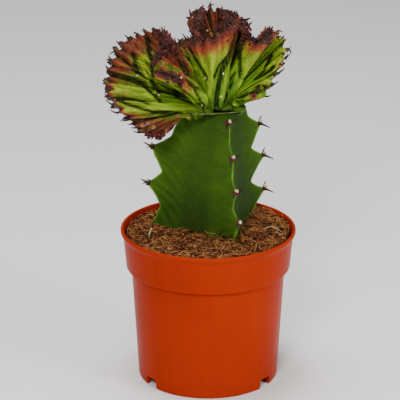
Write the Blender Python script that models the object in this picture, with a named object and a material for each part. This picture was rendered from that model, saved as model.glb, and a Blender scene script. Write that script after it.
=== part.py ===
"""Potted coral cactus: a crested euphorbia grafted on a three-ribbed rootstock, in a nursery pot.

Four solids stand on one axis: pot, soil, rootstock and crest. Lengths are in metres;
positions written in millimetres carry the factor MM. +Z is up, the pot stands on z = 0, and
the origin lies under the middle of the whole plant's box. The view of the front is along +Y.
"""
import math

import bmesh
import bpy
import numpy as np

MM = 0.001
GAP = 0.30 * MM                      # clearance between pieces that touch

# Pot: outer profile, from the photo's silhouette
POT_AXIS = np.array([6.59, 0.0]) * MM
POT_HEIGHT = 107.4 * MM
RIM_RADIUS = 60.0 * MM
COLLAR_TOP_RADIUS = 58.0 * MM
COLLAR_FOOT_RADIUS = 56.4 * MM
COLLAR_FOOT_Z = 80.1 * MM
BODY_TOP_RADIUS = 52.8 * MM
BODY_TOP_Z = 79.0 * MM
FOOT_RADIUS = 48.5 * MM
LIP_DEPTH = 5.0 * MM
POT_WALL = 1.5 * MM
FLOOR_UNDERSIDE_Z = 3.6 * MM
FOOT_RING = 2.6 * MM                 # thickness of the skirt under the floor
FOOT_CHAMFER = 0.8 * MM
POT_SIDES = 54
NOTCH_ANGLES = (-146, -34, 34, 146)  # drain notches, degrees from +X
NOTCH_WIDTH = 12.0 * MM
NOTCH_HEIGHT = 6.2 * MM

# Soil
SOIL_EDGE_Z = 104.0 * MM
SOIL_MOUND = 3.4 * MM
SOIL_LUMP = 0.9 * MM
SOIL_SIDES = 40
SOIL_RINGS = 9

# Rootstock: three ribs round an axis a little off the pot's
STEM_AXIS = np.array([2.4, 4.4]) * MM
STEM_BURIED_Z = 95.0 * MM
STEM_TOP_Z = 190.5 * MM
STEM_CAP = 2.6 * MM
STEM_ROW = 2.5 * MM
FACE_HOLLOW = ((104, 150), (-3.0, 2.4))     # heights and depth of a face there (mm): full at the foot
RIBS = (  # direction in degrees, height and reach of each tooth, heights and edge radii there (mm)
    (167, ((161.4, 9.9), (134.9, 10.5)),
     (96, 104, 112, 120, 150, 162, 170, 176, 184, 190.5),
     (45, 43.5, 39, 36.2, 35.5, 33.2, 28.6, 26, 22, 17)),
    (-67, ((190.2, 2.0), (166.9, 5.2), (145.0, 7.8), (125.0, 12.0)),
     (96, 109, 135, 156, 175, 190.5),
     (38.5, 38.2, 35.4, 34.2, 29.9, 28.5)),
    (40, ((171.6, 10.8), (147.8, 12.8), (122.6, 13.6)),
     (96, 136, 162, 176, 184, 190.5),
     (36.4, 36, 35.5, 33.5, 31.5, 27)),
)
TOOTH_TOP = 8.5 * MM                 # height of a tooth's short upper side
TOOTH_FOOT = 17.0 * MM               # height of its longer concave lower side
TOOTH_BLUNT = 1.2 * MM               # spines grow from a little inside the tip
SECTION = (0.0, 0.05, 0.12, 0.28, 0.5, 0.72, 0.88, 0.95)   # places across a face, rib to rib
TOOTH_SHARE = (1.0, 0.52, 0.18, 0.0, 0.0, 0.0, 0.18, 0.52)  # share of a tooth's reach there
STEM_SPINE_LENGTH = 5.5 * MM
STEM_SPINE_RADIUS = 0.75 * MM
STEM_SPINE_SPREAD = 32               # degrees each side of the rib

# Crest: two growing edges, as x, y, z and half thickness in mm from the pot's axis
FRONT_EDGE = (
    (-29, -12, 177, 5.0), (-38, -15, 177, 6.0), (-50, -19, 187, 6.0), (-61, -20, 198, 5.0),
    (-68, -15, 207, 4.5), (-69, -4, 217, 4.5), (-65, 3, 228, 4.5), (-58, 9, 237, 4.5),
    (-47, 13, 242, 4.5), (-35, 13, 245, 4.5), (-31, 4, 241, 4.5), (-33, -8, 235, 4.5),
    (-36, -20, 230, 4.3), (-32, -28, 227, 4.0), (-25, -29, 225, 4.0), (-19, -26, 220, 4.0),
    (-16, -18, 215, 3.8), (-17, -9, 221, 3.6), (-20, 2, 230, 3.6), (-21, 11, 236, 3.6),
    (-16, 13, 238, 3.6), (-13, 4, 240, 3.6), (-14, -8, 243, 3.8), (-11, -19, 247, 4.2),
    (-4, -26, 250, 4.5), (4, -28, 254, 4.5), (11, -23, 256, 4.5), (15, -13, 257, 4.5),
    (16, 0, 258, 4.5), (14, 12, 258, 4.5), (7, 19, 258, 4.5), (-3, 20, 258, 4.5),
    (-9, 12, 258, 4.8), (-10, 2, 256, 4.8), (-9, -7, 251, 4.5),
)
BACK_EDGE = (
    (-42, 20, 206, 4.5), (-37, 31, 212, 4.5), (-26, 38, 215, 4.2), (-14, 41, 220, 4.2),
    (-3, 41, 231, 4.2), (8, 36, 241, 4.2), (16, 27, 247, 4.2), (23, 17, 251, 4.2),
    (25, 5, 249, 4.2), (27, -6, 244, 4.0), (30, -16, 245, 3.6), (35, -20, 247, 3.4),
    (40, -16, 248, 3.4), (41, -6, 248, 3.6), (43, 4, 247, 3.8), (49, 7, 243, 4.0),
    (53, 5, 234, 4.2), (51, 2, 225, 4.2), (46, 0, 216, 4.2), (40, -3, 210, 4.2),
    (35, -5, 207, 4.0), (30, -7, 204, 4.0),
)
FRONT_ROOT = ((-6, -4, 195.5), (10, -7, 195.5))     # where each edge's tissue leaves the graft
BACK_ROOT = ((-4, 4, 196), (16, -2, 196))
ROOT_HALF = 8.5 * MM
RIB_PITCH = 9.0 * MM
RIB_STEPS = 6
RIB_DEPTH = 0.24                     # share of the half thickness
RIB_TOOTH = 2.0 * MM
FOLD_PITCH = 24.0 * MM               # the slower waving of the whole sheet
FOLD_DEPTH = 2.6 * MM
FLARE = 1.25                         # the fan opens faster near its margin than near its root
DROOP = 18.0 * MM                    # a margin this far below its root hangs in a full arc
GROWTH = (0.05, 0.14, 0.25, 0.37, 0.5, 0.63, 0.76, 0.88, 1.0)   # root to margin
MARGIN_HEIGHT = 2.5 * MM
MARGIN_ROWS = 2
END_STEPS = 5
CREST_VOXEL = 1.15 * MM
CREST_FACES = 6200
CREST_SPINE_LENGTH = 3.6 * MM
CREST_SPINE_RADIUS = 0.65 * MM
SPINE_SUNK = 1.4 * MM
SPINE_LEAN = 38                      # degrees from the direction of growth


def clear_scene():
    for ob in list(bpy.data.objects):
        bpy.data.objects.remove(ob)


def finish(name, colour, roughness):
    mat = bpy.data.materials.new(name)
    mat.use_nodes = True
    shader = mat.node_tree.nodes["Principled BSDF"]
    shader.inputs["Base Color"].default_value = (*colour, 1.0)
    shader.inputs["Roughness"].default_value = roughness
    shader.inputs["Metallic"].default_value = 0.0
    return mat


def make_object(name, verts, faces, mat=None):
    """One mesh object from points in metres about the pot's axis, faces turned outwards."""
    mesh = bpy.data.meshes.new(name)
    points = np.asarray(verts, dtype=float) + np.array([*POT_AXIS, 0.0])
    mesh.from_pydata(points.tolist(), [], [list(f) for f in faces])
    bm = bmesh.new()
    bm.from_mesh(mesh)
    bmesh.ops.remove_doubles(bm, verts=bm.verts, dist=1e-6)
    bmesh.ops.recalc_face_normals(bm, faces=bm.faces)
    bm.to_mesh(mesh)
    bm.free()
    ob = bpy.data.objects.new(name, mesh)
    bpy.context.collection.objects.link(ob)
    if mat:
        mesh.materials.append(mat)
    return ob


def apply_modifiers(ob):
    """Replace the object's mesh by what its modifiers make of it."""
    depsgraph = bpy.context.evaluated_depsgraph_get()
    result = bpy.data.meshes.new_from_object(ob.evaluated_get(depsgraph))
    ob.modifiers.clear()
    ob.data = result


def shade_round(ob, degrees):
    """Shade smoothly but across edges sharper than the angle."""
    ob.data.shade_smooth()
    ob.data.set_sharp_from_angle(angle=math.radians(degrees))


def cut(ob, cutter):
    """Take the cutter away from the object and remove the cutter."""
    mod = ob.modifiers.new("cut", "BOOLEAN")
    mod.operation = "DIFFERENCE"
    mod.solver = "EXACT"
    mod.object = cutter
    apply_modifiers(ob)
    bpy.data.objects.remove(cutter)


def fuse(ob, pieces):
    """Join the pieces to the object in one union, then remove them."""
    group = bpy.data.collections.new(ob.name + "_pieces")
    bpy.context.scene.collection.children.link(group)
    for piece in pieces:
        bpy.context.collection.objects.unlink(piece)
        group.objects.link(piece)
    mod = ob.modifiers.new("fuse", "BOOLEAN")
    mod.operation = "UNION"
    mod.solver = "EXACT"
    mod.operand_type = "COLLECTION"
    mod.collection = group
    apply_modifiers(ob)
    for piece in pieces:
        bpy.data.objects.remove(piece)
    bpy.data.collections.remove(group)


def keep_largest(ob):
    """Drop any loose scrap, keeping the body with the most vertices."""
    bm = bmesh.new()
    bm.from_mesh(ob.data)
    unseen = set(bm.verts)
    bodies = []
    while unseen:
        body = {unseen.pop()}
        front = list(body)
        while front:
            vert = front.pop()
            for edge in vert.link_edges:
                other = edge.other_vert(vert)
                if other in unseen:
                    unseen.discard(other)
                    body.add(other)
                    front.append(other)
        bodies.append(body)
    bodies.sort(key=len)
    for body in bodies[:-1]:
        bmesh.ops.delete(bm, geom=list(body), context="VERTS")
    bm.to_mesh(ob.data)
    bm.free()


def unit(vectors):
    """The vectors scaled to length one."""
    lengths = np.linalg.norm(vectors, axis=-1, keepdims=True)
    return vectors / np.maximum(lengths, 1e-9)


def smooth(values, passes):
    """Values averaged with their neighbours, ends kept."""
    for _ in range(passes):
        middle = (values[:-2] + 2 * values[1:-1] + values[2:]) / 4
        values = np.concatenate([values[:1], middle, values[-1:]])
    return values


def turned(profile, sides):
    """A solid of revolution from (radius, z) pairs that start and end on the axis."""
    ring = profile[1:-1]
    angles = np.arange(sides) * 2 * math.pi / sides
    verts = [(r * math.cos(a), r * math.sin(a), z) for r, z in ring for a in angles]
    faces = []
    for low in range(0, (len(ring) - 1) * sides, sides):
        for j in range(sides):
            beside = low + (j + 1) % sides
            faces.append((low + j, beside, beside + sides, low + j + sides))
    for centre, low in ((profile[0], 0), (profile[-1], (len(ring) - 1) * sides)):
        verts.append((0.0, 0.0, centre[1]))
        faces += [(low + j, low + (j + 1) % sides, len(verts) - 1) for j in range(sides)]
    return verts, faces


def collar_step(z_shift=0.0, inset=0.0, steps=4):
    """Quarter ellipse from the body's top out to the collar's foot, bottom to top."""
    out = COLLAR_FOOT_RADIUS - BODY_TOP_RADIUS
    rise = COLLAR_FOOT_Z - BODY_TOP_Z
    turns = [math.pi / 2 * i / steps for i in range(steps + 1)]
    return [(BODY_TOP_RADIUS - inset + out * math.sin(t),
             BODY_TOP_Z + z_shift + rise * (1 - math.cos(t))) for t in turns]


def pot():
    """Injection-moulded pot: foot ring, tapered body, rounded step, collar and lip bead."""
    lip_foot = POT_HEIGHT - LIP_DEPTH
    bead = (RIM_RADIUS - COLLAR_TOP_RADIUS) / 2
    floor_top = FLOOR_UNDERSIDE_Z + POT_WALL
    foot_inner = FOOT_RADIUS - FOOT_RING
    outside = [(FOOT_RADIUS - FOOT_CHAMFER, 0.0), (FOOT_RADIUS, 1.6 * FOOT_CHAMFER)]
    outside += collar_step() + [
        (COLLAR_TOP_RADIUS, lip_foot - 2 * bead),
        (RIM_RADIUS - 0.4 * bead, lip_foot),
        (RIM_RADIUS, POT_HEIGHT - 1.6 * bead),
        (RIM_RADIUS - 0.7 * bead, POT_HEIGHT),
        (RIM_RADIUS - 1.6 * bead, POT_HEIGHT),
        (RIM_RADIUS - 2.3 * bead, POT_HEIGHT - bead),
    ]
    inside = [(COLLAR_TOP_RADIUS - POT_WALL, lip_foot - 2 * bead)]
    inside += collar_step(POT_WALL, POT_WALL)[::-1] + [(FOOT_RADIUS - POT_WALL, floor_top)]
    underside = [(foot_inner, FLOOR_UNDERSIDE_Z), (foot_inner, 0.0)]
    profile = [(0.0, FLOOR_UNDERSIDE_Z)] + underside + outside + inside + [(0.0, floor_top)]
    plastic = finish("pot_plastic", (0.50, 0.072, 0.012), 0.34)
    ob = make_object("pot", *turned(profile, POT_SIDES), plastic)
    for degrees in NOTCH_ANGLES:
        cut(ob, notch_cutter(degrees))
    shade_round(ob, 28)
    return ob


def notch_cutter(degrees):
    """A bar with rounded upper corners that runs out through the skirt and the floor's edge."""
    half = NOTCH_WIDTH / 2
    corner = 2.0 * MM
    outline = [(-half, -MM), (half, -MM), (half, NOTCH_HEIGHT - corner)]
    outline += [(half - corner * (1 - math.cos(t)), NOTCH_HEIGHT - corner * (1 - math.sin(t)))
                for t in (math.pi / 6, math.pi / 3, math.pi / 2)]
    outline += [(-u, z) for u, z in outline[:2:-1]] + [(-half, NOTCH_HEIGHT - corner)]
    near = FOOT_RADIUS - 5.5 * MM
    far = FOOT_RADIUS + 6 * MM
    a = math.radians(degrees)
    verts = [(r * math.cos(a) - u * math.sin(a), r * math.sin(a) + u * math.cos(a), z)
             for r in (near, far) for u, z in outline]
    n = len(outline)
    faces = [tuple(range(n)), tuple(range(2 * n - 1, n - 1, -1))]
    faces += [(i, n + i, n + (i + 1) % n, (i + 1) % n) for i in range(n)]
    return make_object("notch", verts, faces)


def soil():
    """Coir that fills the pot: the pot's inside less the gap, with a lumpy mounded top."""
    rng = np.random.default_rng(11)
    floor_z = FLOOR_UNDERSIDE_Z + POT_WALL + GAP
    wall = [(FOOT_RADIUS - POT_WALL - GAP, floor_z)]
    wall += [(r - GAP, z + GAP) for r, z in collar_step(POT_WALL, POT_WALL)]
    edge = COLLAR_TOP_RADIUS - POT_WALL - GAP
    rings = np.linspace(1.0, 0.0, SOIL_RINGS + 1)[:-1]
    top = [(edge * share, SOIL_EDGE_Z + SOIL_MOUND * (1 - share ** 2)) for share in rings]
    profile = [(0.0, floor_z)] + wall + top + [(0.0, SOIL_EDGE_Z + SOIL_MOUND)]
    verts, faces = turned(profile, SOIL_SIDES)
    verts = np.array(verts)
    surface = slice(len(wall) * SOIL_SIDES, len(verts) - 2)
    verts[surface, 2] += SOIL_LUMP * rng.uniform(-1, 1, len(verts[surface]))
    ob = make_object("soil", verts, faces, finish("coir", (0.26, 0.085, 0.035), 0.95))
    cut(ob, stem_solid("stem_hole", 1.3 * GAP, STEM_BURIED_Z - GAP))
    shade_round(ob, 50)
    return ob


def edge_radius(rib, z):
    """Distance of a rib's edge from the stem's axis between teeth, at height z."""
    heights, radii = np.array(RIBS[rib][2]) * MM, np.array(RIBS[rib][3]) * MM
    return float(np.interp(z, heights, radii))


def tooth(rib, z):
    """How far the teeth of a rib stand out at height z: steep above each tip, long below."""
    reach = 0.0
    for tip, length in RIBS[rib][1]:
        above = z - tip * MM
        if 0 <= above < TOOTH_TOP:
            reach = max(reach, length * MM * (1 - above / TOOTH_TOP) ** 1.4)
        elif -TOOTH_FOOT < above < 0:
            reach = max(reach, length * MM * (1 + above / TOOTH_FOOT) ** 1.2)
    return reach


def stem_ring(z, grow):
    """The three-ribbed section at height z, moved out by grow."""
    corners = []
    hollow = float(np.interp(z / MM, *FACE_HOLLOW)) * MM
    for rib in (1, 2, 0):
        a = math.radians(RIBS[rib][0])
        corners.append((np.array([math.cos(a), math.sin(a)]), edge_radius(rib, z), tooth(rib, z)))
    ring = []
    for k, (way, radius, reach) in enumerate(corners):
        way_next, radius_next, reach_next = corners[(k + 1) % 3]
        for s, share in zip(SECTION, TOOTH_SHARE):
            point = way * radius * (1 - s) + way_next * radius_next * s
            inward = -unit(way + way_next)
            point = point + inward * hollow * 4 * s * (1 - s)
            near, nearest = (reach, way) if s < 0.5 else (reach_next, way_next)
            point = point + nearest * near * share
            ring.append(point + STEM_AXIS)
    ring = np.array(ring)
    run = unit(np.roll(ring, -1, axis=0) - np.roll(ring, 1, axis=0))
    ring = ring + grow * np.stack([run[:, 1], -run[:, 0]], axis=1)
    return [(x, y, z) for x, y in ring]


def stem_solid(name, grow=0.0, bottom=STEM_BURIED_Z, mat=None):
    """The rootstock's stem with its teeth, closed by a rounded top, grown by a clearance."""
    tips = [tip * MM for _degrees, teeth, *_rest in RIBS for tip, _reach in teeth]
    even = np.linspace(STEM_BURIED_Z, STEM_TOP_Z, round((STEM_TOP_Z - STEM_BURIED_Z) / STEM_ROW))
    clear = [z for z in even[1:-1] if min(abs(z - tip) for tip in tips) > STEM_ROW / 3]
    rows = [bottom] + sorted(clear + tips) + [STEM_TOP_Z]
    verts = [p for z in rows for p in stem_ring(z, grow)]
    n = len(SECTION) * 3
    centre = np.array([*STEM_AXIS, 0.0])
    last = np.array(verts[-n:])
    for pull, rise in ((0.16, 0.7), (0.45, 1.0)):
        cap = last * (1 - pull) + centre * pull
        cap[:, 2] = STEM_TOP_Z + STEM_CAP * rise + grow
        verts += [tuple(p) for p in cap]
    levels = len(verts) // n
    faces = [(k * n + j, k * n + (j + 1) % n, (k + 1) * n + (j + 1) % n, (k + 1) * n + j)
             for k in range(levels - 1) for j in range(n)]
    faces += [tuple(range(n)), tuple(range((levels - 1) * n, levels * n))]
    return make_object(name, verts, faces, mat)


def spine(base, way, length, radius, sides=4):
    """A short thorn as a slim pyramid whose root is sunk into what carries it."""
    way = unit(np.asarray(way, dtype=float))
    side = unit(np.cross(way, (0.31, 0.17, 0.93)))
    other = np.cross(way, side)
    foot = np.asarray(base) - way * SPINE_SUNK
    turns = [2 * math.pi * i / sides for i in range(sides)]
    verts = [foot + radius * (side * math.cos(t) + other * math.sin(t)) for t in turns]
    verts.append(np.asarray(base) + way * length)
    faces = [tuple(range(sides))] + [(i, (i + 1) % sides, sides) for i in range(sides)]
    return verts, faces


def spines_object(name, spines):
    """All spines of one plant piece in one mesh, ready to be fused to it."""
    verts, faces = [], []
    for own_verts, own_faces in spines:
        faces += [tuple(i + len(verts) for i in f) for f in own_faces]
        verts += list(own_verts)
    return make_object(name, verts, faces)


def rootstock():
    """The stem with a pair of spines on every tooth."""
    ob = stem_solid("rootstock", mat=finish("stem_skin", (0.055, 0.14, 0.015), 0.45))
    left_spines, right_spines = [], []
    for rib, (degrees, teeth, *_rest) in enumerate(RIBS):
        for z in (tip * MM for tip, _reach in teeth):
            a = math.radians(degrees)
            reach = edge_radius(rib, z) + tooth(rib, z) - TOOTH_BLUNT
            base = np.array([*(STEM_AXIS + reach * np.array([math.cos(a), math.sin(a)])), z])
            for spines, spread, rise in ((left_spines, -1, -0.15), (right_spines, 1, 0.25)):
                b = a + math.radians(spread * STEM_SPINE_SPREAD)
                way = np.array([math.cos(b), math.sin(b), rise])
                spines.append(spine(base, way, STEM_SPINE_LENGTH, STEM_SPINE_RADIUS))
    fuse(ob, [spines_object("left_spines", left_spines), spines_object("right_spines", right_spines)])
    shade_round(ob, 45)
    return ob


def growing_edge(points):
    """Points of a growing edge, evenly spaced, with the distance along it (Catmull-Rom)."""
    points = np.array(points, dtype=float) * MM
    padded = np.vstack([2 * points[0] - points[1], points, 2 * points[-1] - points[-2]])
    fine = []
    for a, b, c, d in zip(padded, padded[1:], padded[2:], padded[3:]):
        for t in np.arange(12) / 12:
            fine.append(0.5 * (2 * b + (c - a) * t + (2 * a - 5 * b + 4 * c - d) * t ** 2
                               + (3 * b - 3 * c + d - a) * t ** 3))
    fine = np.array(fine + [points[-1]])
    steps = np.linalg.norm(np.diff(fine[:, :3], axis=0), axis=1)
    along = np.concatenate([[0.0], np.cumsum(steps)])
    count = int(round(along[-1] / (RIB_PITCH / RIB_STEPS))) + 1
    even = np.linspace(0, along[-1], count)
    return np.stack([np.interp(even, along, fine[:, i]) for i in range(4)], axis=1), even


def rib_pattern(along, rng):
    """Rib wave (-1 to 1), its uneven strength, and the slower waving of the sheet."""
    drift = smooth(rng.normal(0, 1, len(along)), 4 * RIB_STEPS)
    drift = drift / np.abs(drift).max() * 0.35
    phase = 2 * math.pi * (along / RIB_PITCH + 1.1 * drift)
    knots = np.arange(0, along[-1] + RIB_PITCH, RIB_PITCH * 1.7)
    strength = 1 + 0.35 * np.interp(along, knots, rng.uniform(-1, 1, len(knots)))
    turns = np.cumsum(rng.uniform(0.7, 1.3, int(along[-1] / FOLD_PITCH * 2) + 4)) * FOLD_PITCH / 2
    turns = turns[turns < along[-1] - 4 * MM]
    swing = rng.uniform(0.5, 1, len(turns)) * np.where(np.arange(len(turns)) % 2, 1, -1)
    wave = np.interp(along, [0, *turns, along[-1]], [0, *swing, 0])
    return np.cos(phase), strength, smooth(wave, RIB_STEPS * 3)


def fold_rows(edge, root, rng):
    """Cross rows of one folded sheet, root to margin: left side, right side, two round ends."""
    points, along = growing_edge(edge)
    margin, half_margin = points[:, :3], points[:, 3]
    share = (along / along[-1])[:, None]
    base = (1 - share) * np.array(root[0]) * MM + share * np.array(root[1]) * MM
    rib, strength, wave = rib_pattern(along, rng)
    fall = np.clip((base[:, 2] - margin[:, 2]) / DROOP, 0, 1)

    def middle(r):
        spread = np.full(len(fall), r) ** (FLARE - 0.25 * fall)
        return base + (margin - base) * np.stack([spread, spread, r ** (1 + fall)], axis=1)

    rounding = [math.pi / 2 * (i + 1) / (MARGIN_ROWS + 1) for i in range(MARGIN_ROWS + 1)]
    stations = [(r, 1.0, 0.0) for r in GROWTH] + [(1.0, math.cos(t), math.sin(t)) for t in rounding]
    rows = []
    for r, width, lift in stations:
        centre = middle(r)
        growth = unit(centre - middle(r - 0.02))
        tangent = unit(np.gradient(centre, axis=0))
        normal = unit(np.cross(tangent, growth))
        thick = min(1.0, r / 0.55) ** 2 * (3 - 2 * min(1.0, r / 0.55))
        half = ROOT_HALF * (1 - thick) + half_margin * thick
        half = half * (1 + RIB_DEPTH * min(1.0, 2.2 * r) * strength * rib)
        speed = np.linalg.norm(np.gradient(centre, axis=0), axis=1, keepdims=True)
        turning = np.gradient(tangent, axis=0) / np.maximum(speed, 1e-6)
        bend = smooth(np.sum(turning * normal, axis=1), RIB_STEPS)
        room = 0.75 / np.maximum(np.abs(bend), 1e-3)
        left = smooth(np.where(bend > 0, np.minimum(half, room), half), 1) * width
        right = smooth(np.where(bend < 0, np.minimum(half, room), half), 1) * width
        near_margin = max(0.0, (r - 0.5) / 0.5)
        at_teeth = max(0.0, (r - 0.6) / 0.4)
        centre = centre + growth * (MARGIN_HEIGHT * (lift - near_margin))
        centre = centre + growth * (RIB_TOOTH * at_teeth * (rib - 1) * strength)[:, None]
        centre = centre + normal * (FOLD_DEPTH * wave * min(1.0, max(0.0, 1.3 * r - 0.2)))[:, None]
        rows.append((centre, normal, growth, tangent, left, right))
    return rows, rib


def fold_mesh(rows):
    """Close the rows of one folded sheet into a single skin."""
    verts = []
    ends = math.pi / 2 * (1 - 2 * np.arange(1, END_STEPS + 1) / (END_STEPS + 1))
    count = len(rows[0][0])
    ring_size = 2 * count + 2 * END_STEPS
    for centre, normal, _growth, tangent, left, right in rows[:-1]:
        left_side = centre + normal * left[:, None]
        right_side = centre - normal * right[:, None]
        caps = []
        for i, way in ((-1, 1), (0, -1)):
            middle = (left_side[i] + right_side[i]) / 2
            half = (left[i] + right[i]) / 2 * way
            arc = np.outer(np.cos(ends), tangent[i]) + np.outer(np.sin(ends), normal[i])
            caps.append(middle + half * arc)
        verts.append(np.vstack([left_side, caps[0], right_side[::-1], caps[1]]))
    levels = len(verts)
    faces = []
    for k in range(levels - 1):
        for j in range(ring_size):
            a, b = k * ring_size + j, k * ring_size + (j + 1) % ring_size
            faces.append((a, a + ring_size, b + ring_size, b))
    for level, crown in ((levels - 1, rows[-1][0]), (0, rows[0][0])):
        first = level * ring_size
        top = levels * ring_size + (0 if level else count)
        verts.append(crown)
        for i in range(count - 1):
            mirror = first + 2 * count + END_STEPS - 1 - i
            faces.append((first + i, top + i, top + i + 1, first + i + 1))
            faces.append((mirror, mirror - 1, top + i + 1, top + i))
        for j in range(END_STEPS + 1):
            faces.append((first + count - 1 + j, top + count - 1, first + count + j))
            after = first + (2 * count + END_STEPS + j) % ring_size
            faces.append((first + 2 * count + END_STEPS - 1 + j, top, after))
    return np.vstack(verts), faces


def margin_spines(rows, rib, rng):
    """A spine on each side of every rib's end, leaning out from the direction of growth."""
    centre, normal, growth, tangent, left, right = rows[-2]
    peaks = [i for i in range(2, len(rib) - 2) if rib[i] >= rib[i - 1] and rib[i] > rib[i + 1]]
    spines = []
    for i in peaks:
        for side, half in ((1, left[i]), (-1, right[i])):
            lean = math.radians(SPINE_LEAN + rng.uniform(-12, 12))
            way = growth[i] * math.cos(lean) + normal[i] * side * math.sin(lean)
            way = way + tangent[i] * rng.uniform(-0.3, 0.3)
            base = centre[i] + normal[i] * side * half * 0.8
            length = CREST_SPINE_LENGTH * rng.uniform(0.8, 1.2)
            spines.append(spine(base, way, length, CREST_SPINE_RADIUS, 3))
    return spines


def crest():
    """The grafted fan: two folded sheets grown together, ribbed, toothed and spined."""
    verts, faces, spines = [], [], []
    for seed, edge, root in ((3, FRONT_EDGE, FRONT_ROOT), (5, BACK_EDGE, BACK_ROOT)):
        rng = np.random.default_rng(seed)
        rows, rib = fold_rows(edge, root, rng)
        own_verts, own_faces = fold_mesh(rows)
        faces += [tuple(i + len(verts) for i in f) for f in own_faces]
        verts += list(own_verts)
        spines += margin_spines(rows, rib, rng)
    ob = make_object("crest", verts, faces, finish("crest_skin", (0.18, 0.24, 0.045), 0.5))
    skin = ob.modifiers.new("one_skin", "REMESH")
    skin.mode = "VOXEL"
    skin.voxel_size = CREST_VOXEL
    apply_modifiers(ob)
    thin = ob.modifiers.new("fewer_faces", "DECIMATE")
    ob.data.calc_loop_triangles()
    thin.ratio = CREST_FACES / len(ob.data.loop_triangles)
    apply_modifiers(ob)
    keep_largest(ob)
    fuse(ob, [spines_object("crest_spines", spines)])
    cut(ob, stem_solid("graft_cut", GAP))
    keep_largest(ob)
    shade_round(ob, 60)
    return ob


def main():
    clear_scene()
    for build in (pot, soil, rootstock, crest):
        build()


main()
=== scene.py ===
"""Looks of the potted coral cactus: a crested euphorbia on a three-ribbed rootstock, in its pot.

Lengths are in metres, and a value written in millimetres carries the factor MM. +Z is up and
the front view looks along +Y. The places of pieces count from the pot's axis.
"""
import logging
import math
from collections.abc import Callable
from dataclasses import dataclass, field
from enum import Enum

import bmesh
import bpy
import numpy as np
from mathutils import Matrix, Vector
from mathutils.bvhtree import BVHTree


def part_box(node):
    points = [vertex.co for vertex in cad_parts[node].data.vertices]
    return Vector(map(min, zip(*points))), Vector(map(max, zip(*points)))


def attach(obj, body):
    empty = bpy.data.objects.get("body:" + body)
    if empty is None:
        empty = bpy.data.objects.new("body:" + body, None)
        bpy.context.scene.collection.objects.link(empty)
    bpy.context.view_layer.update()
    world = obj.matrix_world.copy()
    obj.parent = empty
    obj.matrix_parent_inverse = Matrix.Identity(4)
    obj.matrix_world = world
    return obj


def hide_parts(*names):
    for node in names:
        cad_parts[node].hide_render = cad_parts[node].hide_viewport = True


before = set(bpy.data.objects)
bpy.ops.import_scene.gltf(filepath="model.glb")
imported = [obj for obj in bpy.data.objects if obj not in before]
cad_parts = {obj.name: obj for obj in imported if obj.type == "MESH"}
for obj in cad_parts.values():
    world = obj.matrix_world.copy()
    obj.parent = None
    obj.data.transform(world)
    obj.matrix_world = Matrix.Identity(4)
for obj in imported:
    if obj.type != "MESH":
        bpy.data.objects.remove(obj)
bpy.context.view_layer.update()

log = logging.getLogger("coral_cactus")

MM = 0.001
POT_LOW, POT_HIGH = (np.array(corner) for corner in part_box("pot"))
POT_AXIS = np.array([(POT_LOW[0] + POT_HIGH[0]) / 2, (POT_LOW[1] + POT_HIGH[1]) / 2, 0.0])
TURN = 2 * math.pi
BLOB_POINTS = 20

Pair = tuple[float, float]
Triple = tuple[float, float, float]
Colour = Triple
Stops = tuple[tuple[float, Colour], ...]
Faces = list[tuple[int, ...]]
Array = np.ndarray
Mesh = tuple[Array, Faces]
Piece = bpy.types.Object
Material = bpy.types.Material
Socket = bpy.types.NodeSocket
Inputs = dict[str | int, object]


def unit(vectors: Array) -> Array:
    """Scale vectors to length one."""
    lengths = np.linalg.norm(vectors, axis=-1, keepdims=True)
    return vectors / np.maximum(lengths, 1e-12)


def smooth(values: Array, passes: int) -> Array:
    """Average values along their first axis with their neighbours.

    Args:
        values: Numbers or points in a row.
        passes: How many times the average is taken.

    Returns:
        The smoothed row, with both ends kept.
    """
    for _ in range(passes):
        middle = (values[:-2] + 2 * values[1:-1] + values[2:]) / 4
        values = np.concatenate([values[:1], middle, values[-1:]])
    return values


def smooth_ring(points: Array, passes: int) -> Array:
    """Average points that go round with their neighbours.

    Args:
        points: Points of a closed ring.
        passes: How many times the average is taken.

    Returns:
        The smoothed ring.
    """
    for _ in range(passes):
        points = (np.roll(points, 1, axis=0) + 2 * points + np.roll(points, -1, axis=0)) / 4
    return points


def rounded(knots: Array, steps: int) -> Array:
    """Carry a row of numbers or points to a finer spacing, along a smooth curve.

    Args:
        knots: Values that the curve runs through.
        steps: New spaces in each old one.

    Returns:
        The finer row.
    """
    padded = np.concatenate([[2 * knots[0] - knots[1]], knots, [2 * knots[-1] - knots[-2]]])
    a, b, c, d = padded[:-3], padded[1:-2], padded[2:-1], padded[3:]
    parts = [0.5 * (2 * b + (c - a) * t + (2 * a - 5 * b + 4 * c - d) * t ** 2
                    + (3 * b - 3 * c + d - a) * t ** 3) for t in np.arange(steps) / steps]
    mixed = np.stack(parts, axis=1).reshape(-1, *knots.shape[1:])
    return np.concatenate([mixed, knots[-1:]])


def step_up(low: float, high: float, value: Array | float) -> Array:
    """Rise smoothly from 0 at low to 1 at high."""
    t = np.clip((np.asarray(value, dtype=float) - low) / (high - low), 0, 1)
    return t * t * (3 - 2 * t)


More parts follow.
